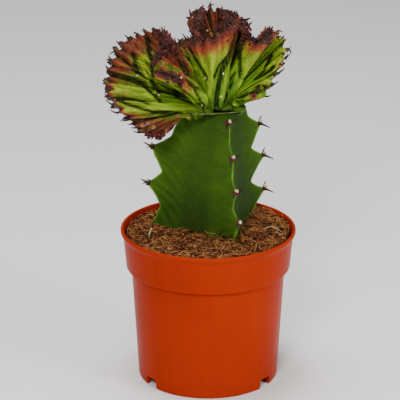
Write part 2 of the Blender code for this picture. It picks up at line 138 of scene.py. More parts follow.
def lattice_noise(x: Array, y: Array, seed: int) -> Array:
    """Smooth random heights over a plane.

    Args:
        x: First coordinate, one unit for each random height.
        y: Second coordinate.
        seed: Number that picks the pattern.

    Returns:
        Values from -1 to 1.
    """
    x, y = np.broadcast_arrays(np.asarray(x, dtype=float), np.asarray(y, dtype=float))
    cell_x, cell_y = np.floor(x), np.floor(y)
    part_x, part_y = step_up(0, 1, x - cell_x), step_up(0, 1, y - cell_y)

    def height(i: Array, j: Array) -> Array:
        """Random height at one lattice point."""
        mixed = np.sin(i * 12.9898 + j * 78.233 + seed * 37.719) * 43758.5453
        return 2 * (mixed - np.floor(mixed)) - 1

    near = height(cell_x, cell_y) * (1 - part_x) + height(cell_x + 1, cell_y) * part_x
    far = height(cell_x, cell_y + 1) * (1 - part_x) + height(cell_x + 1, cell_y + 1) * part_x
    return near * (1 - part_y) + far * part_y


def ring_faces(rings: int, sides: int, start: int = 0) -> Faces:
    """Faces between rings of points that follow each other.

    Args:
        rings: How many rings there are.
        sides: Points in each of them.
        start: Number of the first point.

    Returns:
        Four-sided faces, ring by ring.
    """
    return [(low + j, low + (j + 1) % sides, low + sides + (j + 1) % sides, low + sides + j)
            for low in range(start, start + (rings - 1) * sides, sides) for j in range(sides)]


def hang(name: str, data: bpy.types.ID) -> Piece:
    """Put a mesh, a lamp or a camera in the scene.

    Args:
        name: The object's name.
        data: What it holds.

    Returns:
        The new object.
    """
    thing = bpy.data.objects.new(name, data)
    bpy.context.collection.objects.link(thing)
    return thing


@dataclass
class Shell:
    """Points, faces and named surface values of one piece, gathered before it is an object."""

    points: list[Array] = field(default_factory=list)
    faces: Faces = field(default_factory=list)
    values: dict[str, list[Array]] = field(default_factory=dict)
    count: int = 0

    def add(self, points: Array, faces: Faces, **values: Array) -> "Shell":
        """Append points with the faces and surface values that belong to them.

        Args:
            points: Array of points about the pot's axis.
            faces: Corners of each face, counted from the first of these points.
            values: One number for each point, under the name that materials read.

        Returns:
            This shell.
        """
        flat = np.asarray(points, dtype=float).reshape(-1, 3)
        self.points.append(flat)
        self.faces += [tuple(i + self.count for i in face) for face in faces]
        for name, numbers in values.items():
            self.values.setdefault(name, []).append(np.broadcast_to(numbers, (len(flat),)))
        self.count += len(flat)
        return self

    def build(self, name: str, slot: str, material: Material,
              replaced: str = "") -> Piece:
        """Make the object, let it ride on the plant's body and report it.

        Args:
            name: The piece's name.
            slot: Material slot of the record that it takes its finish from; not used.
            material: The finish.
            replaced: CAD node that the piece stands for, if any.

        Returns:
            The new object.
        """
        mesh = bpy.data.meshes.new(name)
        mesh.from_pydata((np.vstack(self.points) + POT_AXIS).tolist(), [], self.faces)
        for key, parts in self.values.items():
            layer = mesh.attributes.new(key, "FLOAT", "POINT")
            layer.data.foreach_set("value", np.concatenate(parts).astype(np.float32))
        mesh.shade_smooth()
        mesh.materials.append(material)
        piece = hang(name, mesh)
        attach(piece, "root")
        if replaced:
            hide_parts(replaced)
        log.info("%s: %d points, %d faces", name, len(mesh.vertices), len(mesh.polygons))
        return piece


def tubes(paths: Array, radii: Array, sides: int) -> Mesh:
    """Round strands along many paths of the same number of points.

    Args:
        paths: Array of strands, points and coordinates.
        radii: Radius at each point of each strand.
        sides: Corners of the strands' section.

    Returns:
        Points and faces of all strands, with closed ends.
    """
    run = unit(np.gradient(paths, axis=1))
    upright = np.abs(run.mean(axis=1)[:, 2]) > 0.7
    guide = np.where(upright[:, None], [1.0, 0.3, 0.0], [0.1, 0.2, 1.0])[:, None, :]
    side = unit(np.cross(run, guide))
    other = np.cross(run, side)
    turns = np.arange(sides) * TURN / sides
    ring = side[:, :, None] * np.cos(turns)[:, None] + other[:, :, None] * np.sin(turns)[:, None]
    points = paths[:, :, None] + ring * radii[:, :, None, None]
    strands, length = paths.shape[:2]
    faces: Faces = []
    for start in range(0, strands * length * sides, length * sides):
        faces += ring_faces(length, sides, start)
        faces.append(tuple(range(start, start + sides))[::-1])
        faces.append(tuple(range(start + (length - 1) * sides, start + length * sides)))
    return points.reshape(-1, 3), faces


def blobs(centres: Array, ways: Array, sizes: Array,
          rng: np.random.Generator) -> Mesh:
    """Small uneven round bodies.

    Args:
        centres: Where they sit.
        ways: Unit vectors along their long axes.
        sizes: Their radii, across and along that axis.
        rng: Source of their unevenness.

    Returns:
        Points and faces of all of them, 20 points each.
    """
    around = np.arange(6) * math.pi / 3
    rows = [np.array([[0.0, 0.0, -1.0]])]
    for tilt, twist in ((-0.75, 0.0), (0.05, 0.5), (0.8, 0.0)):
        a = around + twist
        rows.append(np.stack([np.cos(a) * math.cos(tilt), np.sin(a) * math.cos(tilt),
                              np.full(6, math.sin(tilt))], axis=1))
    ball = np.vstack(rows + [np.array([[0.0, 0.0, 1.0]])])
    faces: Faces = []
    for j in range(6):
        k = (j + 1) % 6
        faces += [(0, 1 + k, 1 + j), (1 + j, 1 + k, 7 + k, 7 + j), (7 + j, 7 + k, 13 + k, 13 + j),
                  (13 + j, 13 + k, 19)]
    side = unit(np.cross(ways, [0.31, 0.17, 0.93]))
    other = np.cross(ways, side)
    uneven = 1 + rng.uniform(-0.16, 0.16, (len(centres), len(ball), 1))
    local = ball[None] * uneven * sizes[:, [0, 0, 1]][:, None]
    points = (centres[:, None] + local[..., :1] * side[:, None] + local[..., 1:2] * other[:, None]
              + local[..., 2:] * ways[:, None])
    starts = range(0, len(centres) * len(ball), len(ball))
    return points.reshape(-1, 3), [tuple(i + start for i in face) for start in starts
                                   for face in faces]


def thorns(bases: Array, ways: Array, bends: Array, lengths: Array,
           radii: Array, sides: int = 6) -> Mesh:
    """Curved spines that taper from a swollen root to a point.

    Args:
        bases: Where they leave the skin.
        ways: Unit vectors of their first direction.
        bends: How far each tip is carried off that direction.
        lengths: Their lengths.
        radii: Their radii at the root.
        sides: Corners of their section.

    Returns:
        Points and faces of all spines.
    """
    t = np.array([-0.2, 0.0, 0.14, 0.36, 0.62, 0.85, 1.0])
    taper = np.array([1.3, 1.15, 0.85, 0.68, 0.54, 0.38, 0.08])
    straight = bases[:, None] + ways[:, None] * (t[:, None] * lengths[:, None, None])
    paths = straight + bends[:, None] * (np.maximum(t, 0) ** 2)[:, None]
    return tubes(paths, taper[None] * radii[:, None], sides)


class Effect(Enum):
    """Surface effects that several finishes share."""

    MOTTLE = "soft_mottle"
    STREAKS = "growth_streaks"
    SKIN = "plant_skin"


def rgba(colour: object) -> object:
    """Add an opaque fourth number to a plain colour, and leave a socket as it is."""
    return colour if isinstance(colour, Socket) else (*colour, 1.0)


class Graph:
    """Places nodes in one node tree and links them by their sockets' names."""

    def __init__(self, tree: bpy.types.NodeTree) -> None:
        """Work on the given tree."""
        self.tree = tree

    def feed(self, node: bpy.types.Node, inputs: Inputs) -> None:
        """Link sockets to a node's inputs, or set their values.

        Args:
            node: The node to feed.
            inputs: Value or output socket for each named or numbered input.
        """
        for key, value in inputs.items():
            if isinstance(value, Socket):
                self.tree.links.new(value, node.inputs[key])
            else:
                node.inputs[key].default_value = value

    def add(self, kind: str, inputs: Inputs, **settings: object) -> bpy.types.Node:
        """Place one node.

        Args:
            kind: The node's type.
            inputs: Value or output socket for each named or numbered input.
            settings: The node's own properties.

        Returns:
            The new node.
        """
        node = self.tree.nodes.new(kind)
        for key, value in settings.items():
            setattr(node, key, value)
        self.feed(node, inputs)
        return node

    def effect(self, effect: Effect, **inputs: object) -> tuple[Socket, ...]:
        """Outputs of a shared effect that is placed with this material's own values."""
        return tuple(self.add("ShaderNodeGroup", inputs, node_tree=EFFECTS.trees[effect]).outputs)

    def place(self) -> Socket:
        """Coordinates fixed to the object, in metres."""
        return self.add("ShaderNodeTexCoord", {}).outputs["Object"]

    def stretched(self, scale: Triple, turn: Triple = (0.0, 0.0, 0.0)) -> Socket:
        """Coordinates fixed to the object, turned and then scaled along each axis."""
        inputs = {"Vector": self.place(), "Rotation": turn, "Scale": scale}
        return self.add("ShaderNodeMapping", inputs).outputs[0]

    def value(self, name: str) -> Socket:
        """Surface value of that name, stored with the mesh."""
        return self.add("ShaderNodeAttribute", {}, attribute_name=name).outputs["Fac"]

    def noise(self, vector: Socket, scale: object, detail: float = 3.0,
              rough: float = 0.55) -> Socket:
        """Noise from 0 to 1 at the given scale."""
        inputs = {"Vector": vector, "Scale": scale, "Detail": detail, "Roughness": rough}
        return self.add("ShaderNodeTexNoise", inputs).outputs["Fac"]

    def plus(self, first: object, second: object) -> Socket:
        """One number added to another."""
        return self.add("ShaderNodeMath", {0: first, 1: second}, operation="ADD").outputs[0]

    def times(self, first: object, second: object) -> Socket:
        """One number multiplied by another."""
        return self.add("ShaderNodeMath", {0: first, 1: second}, operation="MULTIPLY").outputs[0]

    def span(self, value: object, low: float, high: float, start: float = 0.0,
             end: float = 1.0) -> Socket:
        """Value carried from low..high to start..end, held at both ends."""
        inputs = dict(enumerate((value, low, high, start, end)))
        return self.add("ShaderNodeMapRange", inputs).outputs[0]

    def mix(self, share: object, first: object, second: object) -> Socket:
        """Mixture of two colours, the second one's share given."""
        inputs = {0: share, 6: rgba(first), 7: rgba(second)}
        return self.add("ShaderNodeMix", inputs, data_type="RGBA").outputs[2]

    def coats(self, colour: object, *coats: tuple[object, object]) -> object:
        """Lay coats over a colour.

        Args:
            colour: The colour underneath.
            coats: Share and tint of each coat, from the lowest up.

        Returns:
            The colour on top.
        """
        for share, tint in coats:
            colour = self.mix(share, colour, tint)
        return colour

    def ramp(self, value: object, stops: Stops) -> Socket:
        """Colour ramp.

        Args:
            value: Where it is read.
            stops: Its places and colours, in order.

        Returns:
            The colour.
        """
        node = self.add("ShaderNodeValToRGB", {0: value})
        marks = node.color_ramp.elements
        for mark, (place, colour) in zip(marks, (stops[0], stops[-1])):
            mark.position, mark.color = place, rgba(colour)
        for place, colour in stops[1:-1]:
            marks.new(place).color = rgba(colour)
        return node.outputs["Color"]

    def bump(self, height: object, depth: float) -> Socket:
        """Normal tilted by a height that counts for the given depth."""
        return self.add("ShaderNodeBump", {"Height": height, "Distance": depth}).outputs["Normal"]


class Effects:
    """Shared shader groups, each built once. They put out numbers from 0 to 1 or heights."""

    def __init__(self) -> None:
        """Build every group."""
        self.trees: dict[Effect, bpy.types.NodeTree] = {}
        self._group(Effect.MOTTLE, self._mottle, Place=None, Patches=60.0, Specks=900.0)
        self._group(Effect.STREAKS, self._streaks, Along=0.0, Growth=0.0)
        self._group(Effect.SKIN, self._skin, Place=None, Wrinkles=500.0, Pores=2200.0)

    def _group(self, effect: Effect, recipe: Callable[..., dict[str, Socket]],
               **inputs: float | None) -> None:
        """Build one group.

        Args:
            effect: Which effect it is.
            recipe: What makes its named outputs from its inputs.
            inputs: Usual value of each input, or None for a vector.
        """
        tree = bpy.data.node_groups.new(effect.value, "ShaderNodeTree")
        for name, usual in inputs.items():
            kind = "NodeSocketVector" if usual is None else "NodeSocketFloat"
            socket = tree.interface.new_socket(name, in_out="INPUT", socket_type=kind)
            if usual is not None:
                socket.default_value = usual
        graph = Graph(tree)
        given = graph.add("NodeGroupInput", {})
        made = recipe(graph, *(given.outputs[name] for name in inputs))
        for name in made:
            tree.interface.new_socket(name, in_out="OUTPUT", socket_type="NodeSocketFloat")
        graph.add("NodeGroupOutput", made)
        self.trees[effect] = tree

    @staticmethod
    def _mottle(graph: Graph, place: Socket, patches: Socket, specks: Socket) -> dict[str, Socket]:
        """Broad soft patches and fine specks."""
        return {"Patch": graph.span(graph.noise(place, patches, 3.0, 0.5), 0.34, 0.66),
                "Speck": graph.span(graph.noise(place, specks, 2.0, 0.5), 0.56, 0.74)}

    @staticmethod
    def _streaks(graph: Graph, along: Socket, growth: Socket) -> dict[str, Socket]:
        """Lines that follow the way in which the tissue grew.

        Args:
            graph: The group's graph.
            along: Distance along the growing margin, in metres.
            growth: Share of the growth, 0 at the root.

        Returns:
            The group's outputs.
        """
        made = {}
        for name, density, length, low, high in (("Broad", 210.0, 2.2, 0.36, 0.64),
                                                 ("Fine", 900.0, 7.0, 0.4, 0.66)):
            parts = {0: graph.times(along, density), 1: graph.times(growth, length), 2: 0.0}
            place = graph.add("ShaderNodeCombineXYZ", parts).outputs[0]
            made[name] = graph.span(graph.noise(place, 1.0, 2.0), low, high)
        return made

    @staticmethod
    def _skin(graph: Graph, place: Socket, wrinkles: Socket, pores: Socket) -> dict[str, Socket]:
        """Height of fine wrinkles and pores in plant skin.

        Args:
            graph: The group's graph.
            place: Where it is read.
            wrinkles: How fine the wrinkles are.
            pores: How fine the pores are.

        Returns:
            The group's output.
        """
        cells = graph.add("ShaderNodeTexVoronoi", {"Vector": place, "Scale": pores})
        pits = graph.times(cells.outputs["Distance"], 0.35)
        return {"Height": graph.plus(graph.noise(place, wrinkles, 4.0, 0.5), pits)}


EFFECTS = Effects()


@dataclass(frozen=True)
class Finish:
    """What every finish has: a name and the measures of the shared effects on it."""

    name: str
    gloss: float = 0.5                      # the shader's specular level
    fineness: tuple[float, ...] = ()        # of patches, specks, wrinkles and pores
    relief: float = 0.3 * MM                # depth that the finest relief counts for

    def build(self) -> Material:
        """Make the material.

        Returns:
            The new material, its shader fed with what look gives.
        """
        material = bpy.data.materials.new(self.name)
        material.use_nodes = True
        graph = Graph(material.node_tree)
        shader = graph.tree.nodes["Principled BSDF"]
        graph.feed(shader, {"Specular IOR Level": self.gloss, **self.look(graph)})
        return material

    def look(self, graph: Graph) -> Inputs:
        """Values and sockets of the shader's inputs, a bare shader unless a finish has its own."""
        return {}

    def marks(self, graph: Graph) -> tuple[Socket, ...]:
        """Patches and specks of this finish."""
        patches, specks = self.fineness[:2]
        return graph.effect(Effect.MOTTLE, Place=graph.place(), Patches=patches, Specks=specks)

    def skin(self, graph: Graph) -> Socket:
        """Height of this finish's wrinkles and pores."""
        wrinkles, pores = self.fineness[2:]
        return graph.effect(Effect.SKIN, Place=graph.place(), Wrinkles=wrinkles, Pores=pores)[0]


@dataclass(frozen=True)
class PotPlastic(Finish):
    """Moulded polypropylene: satin, faintly drawn upwards, dusty in fine specks, with lighter
    vertical streaks that are partly painted sheen.
    """

    gloss: float = 0.028
    fineness: tuple[float, ...] = (24.0, 1500.0)
    relief: float = 0.015 * MM
    drawn_lines: Triple = (160.0, 160.0, 5.0)
    base: Colour = (0.365, 0.0245, 0.0045)
    deep: Colour = (0.315, 0.0205, 0.004)
    # lighter orange of the wear specks and of the painted sheen along the vertical streaks
    wear_and_sheen: Colour = (0.46, 0.040, 0.008)
    glint: Colour = (1.0, 0.16, 0.03)

    def look(self, graph: Graph) -> Inputs:
        """Satin orange with faint lighter lines, partly painted sheen.

        Args:
            graph: The material's graph.

        Returns:
            The shader's inputs.
        """
        patch, speck = self.marks(graph)
        lines = graph.noise(graph.stretched(self.drawn_lines), 1.0)
        # the vertical streaks lighten the orange as painted sheen over the flow lines; the specks
        # are wear
        colour = graph.coats(self.base, (graph.times(patch, 0.6), self.deep),
                             (graph.span(lines, 0.45, 0.75, 0.0, 0.14), self.wear_and_sheen),
                             (graph.times(speck, 0.12), self.wear_and_sheen))
        return {"Base Color": colour, "Roughness": graph.span(lines, 0.3, 0.7, 0.3, 0.36),
                "Normal": graph.bump(lines, self.relief), "Specular Tint": rgba(self.glint)}


@dataclass(frozen=True)
class Coir(Finish):
    """Coconut fibre or the pith between it, from nearly black to pale tan."""

    gloss: float = 0.15
    fineness: tuple[float, ...] = (260.0, 2400.0, 1400.0, 3000.0)
    tones: Stops = (
        (0.0, (0.024, 0.008, 0.006)), (0.32, (0.066, 0.017, 0.009)), (0.55, (0.20, 0.058, 0.021)),
        (0.78, (0.38, 0.135, 0.042)), (1.0, (0.74, 0.33, 0.10)))

    def look(self, graph: Graph) -> Inputs:
        """Matt brown after each fibre's own tone.

        Args:
            graph: The material's graph.

        Returns:
            The shader's inputs.
        """
        patch, speck = self.marks(graph)
        tone = graph.plus(graph.value("tone"), graph.times(patch, 0.22))
        colour = graph.mix(graph.times(speck, 0.3), graph.ramp(tone, self.tones), self.tones[0][1])
        return {"Base Color": colour, "Roughness": graph.span(tone, 0.0, 1.0, 0.95, 0.62),
                "Normal": graph.bump(self.skin(graph), self.relief)}


@dataclass(frozen=True)
class StemSkin(Finish):
    """Waxy dark green skin with pale rib edges and faint slanting ripples.

    The surface value depth paints shade: it darkens towards the foot, in the middle of each face,
    over the whole right face and in the ripples' troughs. near_rib and rib_line light up the ribs'
    edges, and cork browns their tips.
    """

    gloss: float = 0.012
    fineness: tuple[float, ...] = (34.0, 1300.0, 420.0, 2600.0)
    ripple: Triple = (30.0, 30.0, 190.0)
    slant: Triple = (0.0, 0.62, 0.0)
    green: Colour = (0.037, 0.084, 0.011)
    bright: Colour = (0.064, 0.138, 0.013)
    # low is the green of painted shade, which depth and the ripples mix in
    low: Colour = (0.020, 0.042, 0.008)
    edge: Colour = (0.17, 0.40, 0.035)
    cork: Colour = (0.085, 0.035, 0.020)

    def look(self, graph: Graph) -> Inputs:
        """Green in patches, with pale edges and corky tips.

        Args:
            graph: The material's graph.

        Returns:
            The shader's inputs.
        """
        patch, speck = self.marks(graph)
        ripples = graph.noise(graph.stretched(self.ripple, self.slant), 1.0)
        # depth and the ripple noise mix in the low green as painted shade
        colour = graph.coats(
            self.green, (graph.span(patch, 0.0, 1.0, 0.05, 0.8), self.bright),
            (graph.times(graph.value("depth"), 0.85), self.low),
            (graph.span(ripples, 0.35, 0.75, 0.0, 0.42), self.low),
            (graph.times(speck, 0.22), self.edge),
            (graph.times(graph.value("near_rib"), 0.45), self.bright),
            (graph.times(graph.value("rib_line"), 0.85), self.edge),
            (graph.value("cork"), self.cork))
        height = graph.plus(self.skin(graph), graph.times(ripples, 1.4))
        return {"Base Color": colour, "Roughness": graph.span(patch, 0.0, 1.0, 0.5, 0.65),
                "Normal": graph.bump(height, self.relief), "Subsurface Weight": 0.03,
                "Subsurface Radius": (0.3, 0.8, 0.2), "Subsurface Scale": 2.0 * MM}


@dataclass(frozen=True)
class CrestSkin(Finish):
    """Skin of the fan: green at the root, yellow-green, then red and purple at the margin.

    The surface value ripe runs from 0 at the root to 1 at the margin, dull turns bright green to
    olive, calm evens a face out, and ridge is 1 on a ridge and -1 in a groove; ridge paints a
    highlight on the ridges and shade into the grooves.
    """

    gloss: float = 0.075
    fineness: tuple[float, ...] = (130.0, 1500.0, 800.0, 2600.0)
    relief: float = 0.5 * MM
    fresh: Stops = (
        (0.0, (0.030, 0.085, 0.008)), (0.2, (0.085, 0.220, 0.010)), (0.42, (0.135, 0.270, 0.010)),
        (0.56, (0.225, 0.295, 0.016)), (0.64, (0.320, 0.170, 0.020)), (0.72, (0.340, 0.060, 0.022)),
        (0.83, (0.250, 0.036, 0.021)), (0.91, (0.140, 0.022, 0.018)), (1.0, (0.050, 0.010, 0.012)))
    dull: Stops = (
        (0.0, (0.018, 0.048, 0.006)), (0.25, (0.050, 0.105, 0.010)), (0.48, (0.095, 0.130, 0.014)),
        (0.6, (0.130, 0.090, 0.018)), (0.70, (0.180, 0.042, 0.019)), (0.82, (0.140, 0.024, 0.018)),
        (0.91, (0.080, 0.015, 0.015)), (1.0, (0.035, 0.009, 0.011)))
    tan: Colour = (0.560, 0.300, 0.090)
    # groove is the near-black of painted shade in grooves and creases, also used along the dark
    # streaks
    groove: Colour = (0.006, 0.010, 0.004)
    # pale is the colour of the young skin's pale streaks and specks, and of the painted highlight
    # on its ridges
    pale: Colour = (0.440, 0.600, 0.030)
    # rose is a painted highlight on the ridges of ripe skin
    ridge_highlight_rose: Colour = (0.340, 0.090, 0.070)

    def look(self, graph: Graph) -> Inputs:
        """Ripening colours, streaked along the growth, with a painted highlight on ridges and
        painted shade in grooves.

        Args:
            graph: The material's graph.

        Returns:
            The shader's inputs.
        """
        growth, ridge, dull = (graph.value(name) for name in ("growth", "ridge", "dull"))
        broad, fine = graph.effect(Effect.STREAKS, Along=graph.value("along"), Growth=growth)
        patch, speck = self.marks(graph)
        uneven = graph.span(graph.value("calm"), 0.0, 1.0, 1.0, 0.35)
        ripe = graph.plus(graph.value("ripe"), graph.span(broad, 0.0, 1.0, -0.06, 0.05))
        ripe = graph.plus(ripe, graph.span(patch, 0.0, 1.0, -0.05, 0.05))
        olive = graph.plus(dull, graph.span(patch, 0.0, 1.0, -0.3, 0.35))
        olive = graph.plus(olive, graph.times(graph.span(broad, 0.0, 1.0, 0.28, -0.28), uneven))
        scarred = graph.times(graph.span(dull, 0.86, 0.9), graph.span(patch, 0.5, 0.85, 0.0, 0.6))
        young = graph.times(graph.span(ripe, 0.55, 0.72, 1.0, 0.0),
                            graph.span(growth, 0.05, 0.5, 0.15, 1.0))
        old = graph.times(graph.span(ripe, 0.6, 0.75), 0.6)
        # high paints a highlight on the ridges, pale on young skin and rose on ripe skin
        high = graph.span(ridge, 0.15, 1.1, 0.0, 0.5)
        shade = graph.times(graph.span(fine, 0.6, 0.0, 0.0, 0.45),
                            graph.span(broad, 0.2, 0.7, 1.0, 0.2))
        # this mask paints shade into the grooves with the groove colour
        groove_shade = graph.times(graph.span(ridge, -0.4, -1.3), graph.span(fine, 0.1, 0.9, 1.0, 0.72))
        colour = graph.coats(
            graph.ramp(ripe, self.fresh),
            (graph.span(olive, 0.05, 0.95), graph.ramp(ripe, self.dull)), (scarred, self.tan),
            (graph.times(graph.span(fine, 0.25, 1.0, 0.0, 0.26), young), self.pale),
            (graph.times(high, young), self.pale), (graph.times(high, old), self.ridge_highlight_rose),
            (graph.times(shade, uneven), self.groove), (groove_shade, self.groove),
            (graph.times(speck, 0.25), self.pale))
        rough = graph.plus(graph.span(ripe, 0.3, 0.9, 0.5, 0.38),
                           graph.span(groove_shade, 0.0, 0.8, 0.0, 0.45))
        height = graph.plus(self.skin(graph), graph.times(fine, 1.2))
        return {"Base Color": colour, "Roughness": rough,
                "Normal": graph.bump(height, self.relief), "Subsurface Weight": 0.04,
                "Subsurface Radius": (0.5, 0.8, 0.2), "Subsurface Scale": 1.0 * MM}


@dataclass(frozen=True)
class KnobSkin(Finish):
    """Knobs along the growing margin, purple-brown with pink and red ones among them."""

    gloss: float = 0.16
    fineness: tuple[float, ...] = (600.0, 2600.0, 1800.0, 4200.0)
    relief: float = 0.2 * MM
    tones: Stops = (
        (0.0, (0.300, 0.060, 0.024)), (0.3, (0.200, 0.028, 0.021)), (0.55, (0.105, 0.015, 0.021)),
        (0.78, (0.026, 0.006, 0.012)), (0.9, (0.14, 0.022, 0.034)), (1.0, (0.46, 0.12, 0.13)))
    fleck: Colour = (0.38, 0.12, 0.11)

    def look(self, graph: Graph) -> Inputs:
        """Purple-brown after each knob's own tone.

        Args:
            graph: The material's graph.

        Returns:
            The shader's inputs.
        """
        patch, speck = self.marks(graph)
        tone = graph.plus(graph.value("tone"), graph.span(patch, 0.0, 1.0, -0.06, 0.06))
        colour = graph.mix(graph.times(speck, 0.2), graph.ramp(tone, self.tones), self.fleck)
        return {"Base Color": colour, "Roughness": graph.span(patch, 0.0, 1.0, 0.34, 0.55),
                "Normal": graph.bump(self.skin(graph), self.relief)}


@dataclass(frozen=True)
class SpineHorn(Finish):
    """Dark horn in faint bands of brown."""

    gloss: float = 0.25
    relief: float = 0.1 * MM
    bands: float = 900.0
    brown: Colour = (0.060, 0.014, 0.012)
    black: Colour = (0.012, 0.005, 0.006)

    def look(self, graph: Graph) -> Inputs:
        """Nearly black with brown bands.

        Args:
            graph: The material's graph.

        Returns:
            The shader's inputs.
        """
        bands = graph.noise(graph.place(), self.bands, 2.0)
        return {"Base Color": graph.mix(graph.span(bands, 0.4, 0.7), self.black, self.brown),
                "Roughness": graph.span(bands, 0.3, 0.7, 0.4, 0.6),
                "Normal": graph.bump(bands, self.relief)}


@dataclass(frozen=True)
class DryTissue(Finish):
    """Dry pale matter: wool at the areoles, callus at the graft, shavings, old scale leaves."""

    gloss: float = 0.2
    relief: float = 0.4 * MM
    pale: Colour = (0.88, 0.82, 0.46)
    dark: Colour = (0.46, 0.27, 0.11)
    fineness: tuple[float, ...] = (900.0, 2700.0, 1800.0, 4500.0)

    def look(self, graph: Graph) -> Inputs:
        """Pale and rough with darker patches.

        Args:
            graph: The material's graph.

        Returns:
            The shader's inputs.
        """
        patch, speck = self.marks(graph)
        colour = graph.coats(self.pale, (patch, self.dark), (graph.times(speck, 0.4), self.pale))
        return {"Base Color": colour, "Roughness": 0.85,
                "Normal": graph.bump(self.skin(graph), self.relief)}


@dataclass(frozen=True)
class Paper(Finish):
    """Pale studio floor, faintly uneven."""

    white: Colour = (0.93, 0.93, 0.925)
    whiter: Colour = (0.945, 0.945, 0.94)

    def look(self, graph: Graph) -> Inputs:
        """Nearly even white."""
        cloud = graph.span(graph.noise(graph.place(), 3.0, 2.0), 0.3, 0.7)
        return {"Base Color": graph.mix(cloud, self.white, self.whiter), "Roughness": 0.7}


@dataclass
class PhotoCamera:
    """The photograph's camera: a long lens a little above the plant."""

    aim: Triple = (-5.59 * MM, 0.0, 127.15 * MM)
    distance: float = 1505.0 * MM
    elevation: float = math.radians(20.42)
    sensor: float = 36.0
    lens: float = 198.0
    picture: int = 400

    def __post_init__(self) -> None:
        """Work out where it stands and which way it looks, about the pot's axis."""
        self.forward = np.array([0.0, math.cos(self.elevation), -math.sin(self.elevation)])
        self.up = np.array([0.0, math.sin(self.elevation), math.cos(self.elevation)])
        self.right = np.array([1.0, 0.0, 0.0])
        self.place = np.array(self.aim) - self.distance * self.forward
        self.focal = self.picture * self.lens / self.sensor

    def build(self) -> None:
        """Create the camera and make it the scene's."""
        data = bpy.data.cameras.new("photo_camera")
        data.sensor_width = self.sensor
        data.lens = self.lens
        camera = hang("photo_camera", data)
        turn = Matrix((self.right, self.up, -self.forward)).transposed().to_4x4()
        camera.matrix_world = Matrix.Translation(Vector(self.place + POT_AXIS)) @ turn
        bpy.context.scene.camera = camera

    def pixels(self, points: Array) -> Array:
        """Find points in the picture.

        Args:
            points: Points about the pot's axis.

        Returns:
            Column and row of each, in pixels from the picture's corner.
        """
        seen = points - np.array(self.aim)
        scale = self.focal / (seen @ self.forward + self.distance)
        half = self.picture / 2
        return np.stack([half + scale * (seen @ self.right), half - scale * (seen @ self.up)],
                        axis=-1)

    def ray(self, pixel: Pair) -> Array:
        """Direction in which the camera sees a pixel."""
        across, upwards = pixel[0] - self.picture / 2, self.picture / 2 - pixel[1]
        return unit(self.forward * self.focal + self.right * across + self.up * upwards)


CAMERA = PhotoCamera()


@dataclass
class Seats:
    """Finds where a line of sight meets the plant's skin, to seat small things on it."""

    pieces: list[Piece]

    def __post_init__(self) -> None:
        """Gather the pieces' surfaces in one search tree."""
        points: list[Vector] = []
        faces: Faces = []
        for piece in self.pieces:
            start = len(points)
            points += [piece.matrix_world @ vert.co for vert in piece.data.vertices]
            faces += [tuple(i + start for i in face.vertices) for face in piece.data.polygons]
        self.tree = BVHTree.FromPolygons(points, faces)

    def at(self, pixel: Pair) -> tuple[Array, Array] | None:
        """Skin under a pixel of the photograph.

        Args:
            pixel: Column and row in the picture.

        Returns:
            Point about the pot's axis and outward normal, or None beside the plant.
        """
        origin = Vector(CAMERA.place + POT_AXIS)
        hit, normal, _index, _length = self.tree.ray_cast(origin, Vector(CAMERA.ray(pixel)))
        if hit is None:
            return None
        outward = np.array(normal)
        if outward @ CAMERA.forward > 0:
            outward = -outward
        return np.array(hit) - POT_AXIS, outward


def turned(profile: list[Pair], sides: int) -> Mesh:
    """Solid of revolution.

    Args:
        profile: Radius and height of each ring, from the axis to the axis.
        sides: Points around.

    Returns:
        Points and faces.
    """
    ring = profile[1:-1]
    angles = (np.arange(sides) + 0.5) * TURN / sides
    rows = [np.stack([r * np.cos(angles), r * np.sin(angles), np.full(sides, z)], axis=1)
            for r, z in ring]
    points = np.vstack(rows + [[[0.0, 0.0, profile[0][1]]], [[0.0, 0.0, profile[-1][1]]]])
    faces = ring_faces(len(ring), sides)
    last = (len(ring) - 1) * sides
    for j in range(sides):
        faces.append((j, len(points) - 2, (j + 1) % sides))
        faces.append((last + j, last + (j + 1) % sides, len(points) - 1))
    return points, faces


def bow(centre: Pair, radius: float, start: float, end: float, steps: int = 5) -> list[Pair]:
    """Points of an arc in a profile, angles in degrees from outwards, turning to up."""
    turns = np.radians(np.linspace(start, end, steps + 1))
    return [(centre[0] + radius * math.cos(t), centre[1] + radius * math.sin(t)) for t in turns]


